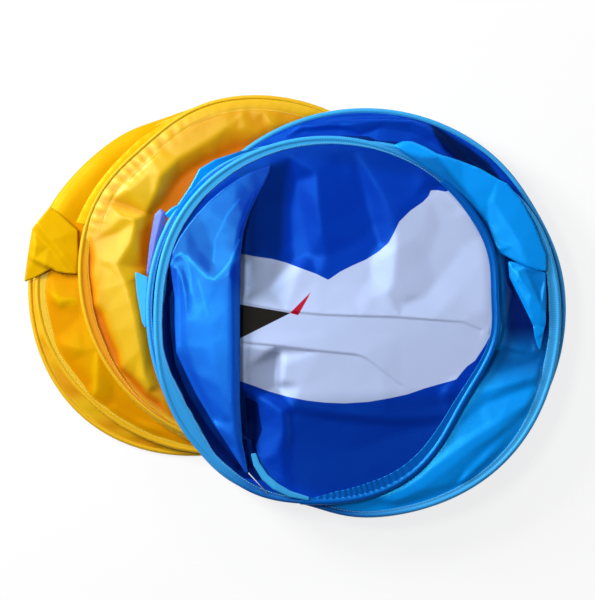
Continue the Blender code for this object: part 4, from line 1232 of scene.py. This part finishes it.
# Painted shade and painted highlights: darker towards the top and near where it meets the roof, darker or
# lighter in soft patches, lighter along its fold lines.
merge = nearest_on(points, [(-25, 193), (-41, 157), (-51, 141), (-62, 118), (-69, 86)])[0]
shade_depths = np.interp(points[:, 1], [6.0, 44.0, 120.0], [0.42, 0.76, 0.84])
shade_depths += 0.4 * np.clip(1.25 - merge / 22.0, 0.0, 1.0)
for outline, shift, fade in (
    ([(-163, 57), (-153, 86), (-129, 118), (-118, 97), (-109, 65), (-107, 42), (-118, 46), (-137, 65),
      (-150, 73)], 0.36, 12.0),
    ([(-147, 49), (-139, 57), (-118, 25), (-91, 30), (-86, -60), (-107, -76), (-137, -60), (-145, -20)],
     -0.17, 14.0),
    ([(-85, 46), (-67, 66), (-67, -180), (-59, -234), (-75, -194), (-82, -127)], 0.32, 5.0),
    ([(-157, -63), (-139, -68), (-105, -154), (-65, -226)], 0.2, 9.0),
    ([(-110, -151), (-97, -146), (-94, -159), (-105, -164)], -0.3, 6.0),
):
    shade_depths += shift * within(points, outline, fade)
for line, strength in (
    ([(-165, 53), (-158, 64), (-151, 68), (-142, 63), (-129, 49), (-116, 36), (-106, 34), (-97, 42),
      (-85, 57), (-73, 86)], 0.85),
    ([(-150, 66), (-142, 57), (-138, 40), (-137, 20), (-139, 0)], 0.7),
    ([(-127, 32), (-121, 9), (-115, -15)], 0.45), ([(-155, 44), (-153, 6), (-152, -54)], 0.4),
    ([(-107, 57), (-105, 86), (-89, 120), (-73, 140)], 0.35), ([(-81, 57), (-73, 100), (-54, 146)], 0.5),
    ([(-85, 33), (-84, -47), (-85, -127)], 0.25),
):
    shade_depths -= strength * beside(points, line, 1.5)
finish_cloth(
    "tent_side_cloth", bm, lit_royal_taffeta, "tent_blue_cloth", 0.3, "tent_roof_turn",
    np.clip(shade_depths, 0.0, 1.0), "tent_side_panel",
    flat=(0.11, 0.42), area=0.028, held="folded", rests_on=["tent_roof_cloth"],
)

# Trim at the left: the fastening tab, the folded corner of cyan cloth and the strip of lining above it.
# All three are flat pieces of taffeta, caught by the middle turn's binding.
tab_outline = [(-212, 44), (-195, 37), (-197, 6), (-197, -34), (-203, -23), (-210, 17)]
bm = cut_sheet(tab_outline, 1.0)
bmesh.ops.translate(bm, vec=(0.0, 0.0, 53.1), verts=bm.verts)
tab_taffeta = taffeta("tab_taffeta", (0.05, 0.44, 0.95), (0.1, 0.7, 1.0))
finish_cloth(
    "tent_fastening_tab", bm, tab_taffeta, "tent_binding", 1.0, "fastening_tab", node="tent_tab",
    flat=(0.016, 0.077), area=0.0008, held="stretched", rests_on=["tent_wall_binding"],
)
lining_taffeta = taffeta("lining_taffeta", (0.13, 0.18, 0.62), (0.3, 0.4, 1.0))
for name, outline, folds, material, slot, node, flat, area in (
    (
        "tent_corner_cloth",
        [(-173, 120), (-163, 129), (-155, 133), (-139, 157), (-126, 181), (-106, 193), (-73, 204),
         (-49, 208), (-26, 210), (-43, 196), (-79, 182), (-113, 161), (-139, 133), (-155, 106)],
        [
            [(-173, 120, 55), (-155, 133, 56), (-139, 157, 56.5), (-126, 181, 57), (-106, 193, 56.5),
             (-73, 204, 56), (-26, 210, 55)],
            [(-155, 105, 52), (-137, 132, 52), (-111, 158, 52), (-78, 180, 52), (-42, 193, 52),
             (-25, 206, 52)],
            [(-193, 140, 52)], [(-99, 220, 52)],
        ],
        cyan_taffeta, "tent_cyan_cloth", "tent_outer_pleat", (0.02, 0.16), 0.0022,
    ),
    (
        "tent_lining_cloth",
        [(-197, 40), (-193, 80), (-186, 120), (-178, 128), (-169, 121), (-173, 106), (-179, 86), (-189, 57),
         (-193, 38)],
        [
            [(-197, 38, 51), (-193, 80, 52.5), (-186, 120, 53), (-178, 129, 53.5)],
            [(-175, 124, 55), (-183, 93, 55), (-193, 44, 53)],
            [(-167, 121, 52), (-173, 106, 51), (-179, 86, 50.5), (-191, 37, 50.5)],
        ],
        lining_taffeta, "tent_lining", "tent_lining_strip", (0.014, 0.09), 0.0009,
    ),
):
    bm, points = fold_sheet(outline, 1.2, folds, rounds=1)
    # Painted shade: the corner cloth is painted darker towards the right; the lining's material has no shade
    # colour.
    shade_depths = np.interp(points[:, 0], [-120.0, -60.0], [0.0, 0.75])
    finish_cloth(
        name, bm, material, slot, 0.6, "tent_wall_turn", shade_depths, node,
        flat=flat, area=area, held="folded", rests_on=["tent_wall_binding"],
    )

# The gathered tape: soft elastic sewn along the lower right of the top turn.
# Its outer edge goes over the wire in a bead, and the flat part is drawn up in small puckers.
band_widths = (
    [-98, -92, -86, -75, -60, -48, -38, -28, 0, 35, 50],
    [6, 11, 17, 20, 19, 17.5, 15, 13, 11, 10, 8],
)
gather_shares = ([-98, -90, -74, -66, -50], [0.0, 1.0, 1.0, 0.35, 0.0])
bm = spin_strip([(-0.6 + k, 0.0) for k in range(22)], -98.0, 50.0, step=0.6)
points = places(bm)
degrees, inset = spun(points)
inset = -0.6 + (inset + 0.6) / 21.0 * (np.interp(degrees, *band_widths) + 0.6)
set_inset(points, inset)
bead = 62.1 + 3.1 * np.sqrt(np.clip(1.0 - ((inset - 3.2) / 4.0) ** 2, 0.0, 1.0))
flat = np.where(inset > 3.2, 63.6 - 0.02 * inset, 0.0)
gathers = np.interp(degrees, *gather_shares) * ramp(inset, 5.0, 9.0)
ribs = np.sin(np.radians(degrees) * 165 + 4.0 * np.sin(np.radians(degrees) * 9) + 0.06 * inset)
points[:, 2] = np.maximum(bead, flat) + gathers * ribs
move(bm, points)
seat_on(bm, roof_turn)
band_taffeta = taffeta("band_taffeta", (0.0005, 0.075, 0.42), (0.03, 0.5, 1.0))
finish_cloth(
    "tent_gather_band", bm, band_taffeta, "tent_elastic", 0.8, "tent_roof_turn", node="tent_gather_tape",
    flat=(0.018, 0.62), held="gathered", rests_on=["tent_roof_binding"],
)

# The pull strap: a short strap over the top turn at the lower left.
# It is cut from the tent's ribbed tape, and both its ends are sewn in beside the turn's binding.
strap_outline = [
    (-58, -198), (-54, -214), (-43, -232), (-28, -245), (-7, -255), (19, -260), (20, -255), (-5, -247),
    (-22, -237), (-35, -226), (-46, -210), (-51, -197),
]
bm, _ = fold_sheet(strap_outline, 1.0, [
    [(-54, -198, 61.5), (-50, -212, 62.5), (-39, -229, 64), (-25, -241, 65.6), (-6, -251, 65.9),
     (20, -257, 65.9)],
    [(-73, -207, 62)], [(-46, -260, 65)], [(7, -274, 66)], [(-33, -194, 62)], [(7, -234, 65)],
])
finish_cloth(
    "tent_pull_strap_cloth", bm, sky_tape, "tent_elastic", 1.0, "tent_roof_turn", node="tent_pull_strap",
    flat=(0.014, 0.085), held="laid", rests_on=["tent_roof_binding"],
)

# The white cord: only a short end of it shows, beside the strap.
# It is thin and tapers a little, and both ends of what shows go into the cloth.
cord = ribbed_tape("white_cord", (0.62, 0.70, 0.85), (1.0, 1.0, 1.0), 0.0016)
start, end = Vector((-61, -223, 65.6)), Vector((-36, -250, 65.6))
turn = (end - start).to_track_quat("Z", "Y").to_matrix().to_4x4()
bm = bmesh.new()
bmesh.ops.create_cone(
    bm, cap_ends=True, segments=12, radius1=0.75, radius2=0.6, depth=(end - start).length,
    matrix=Matrix.Translation((start + end) / 2) @ turn,
)
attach(finish_piece("tent_white_cord", bm, cord), "tent_roof_turn")
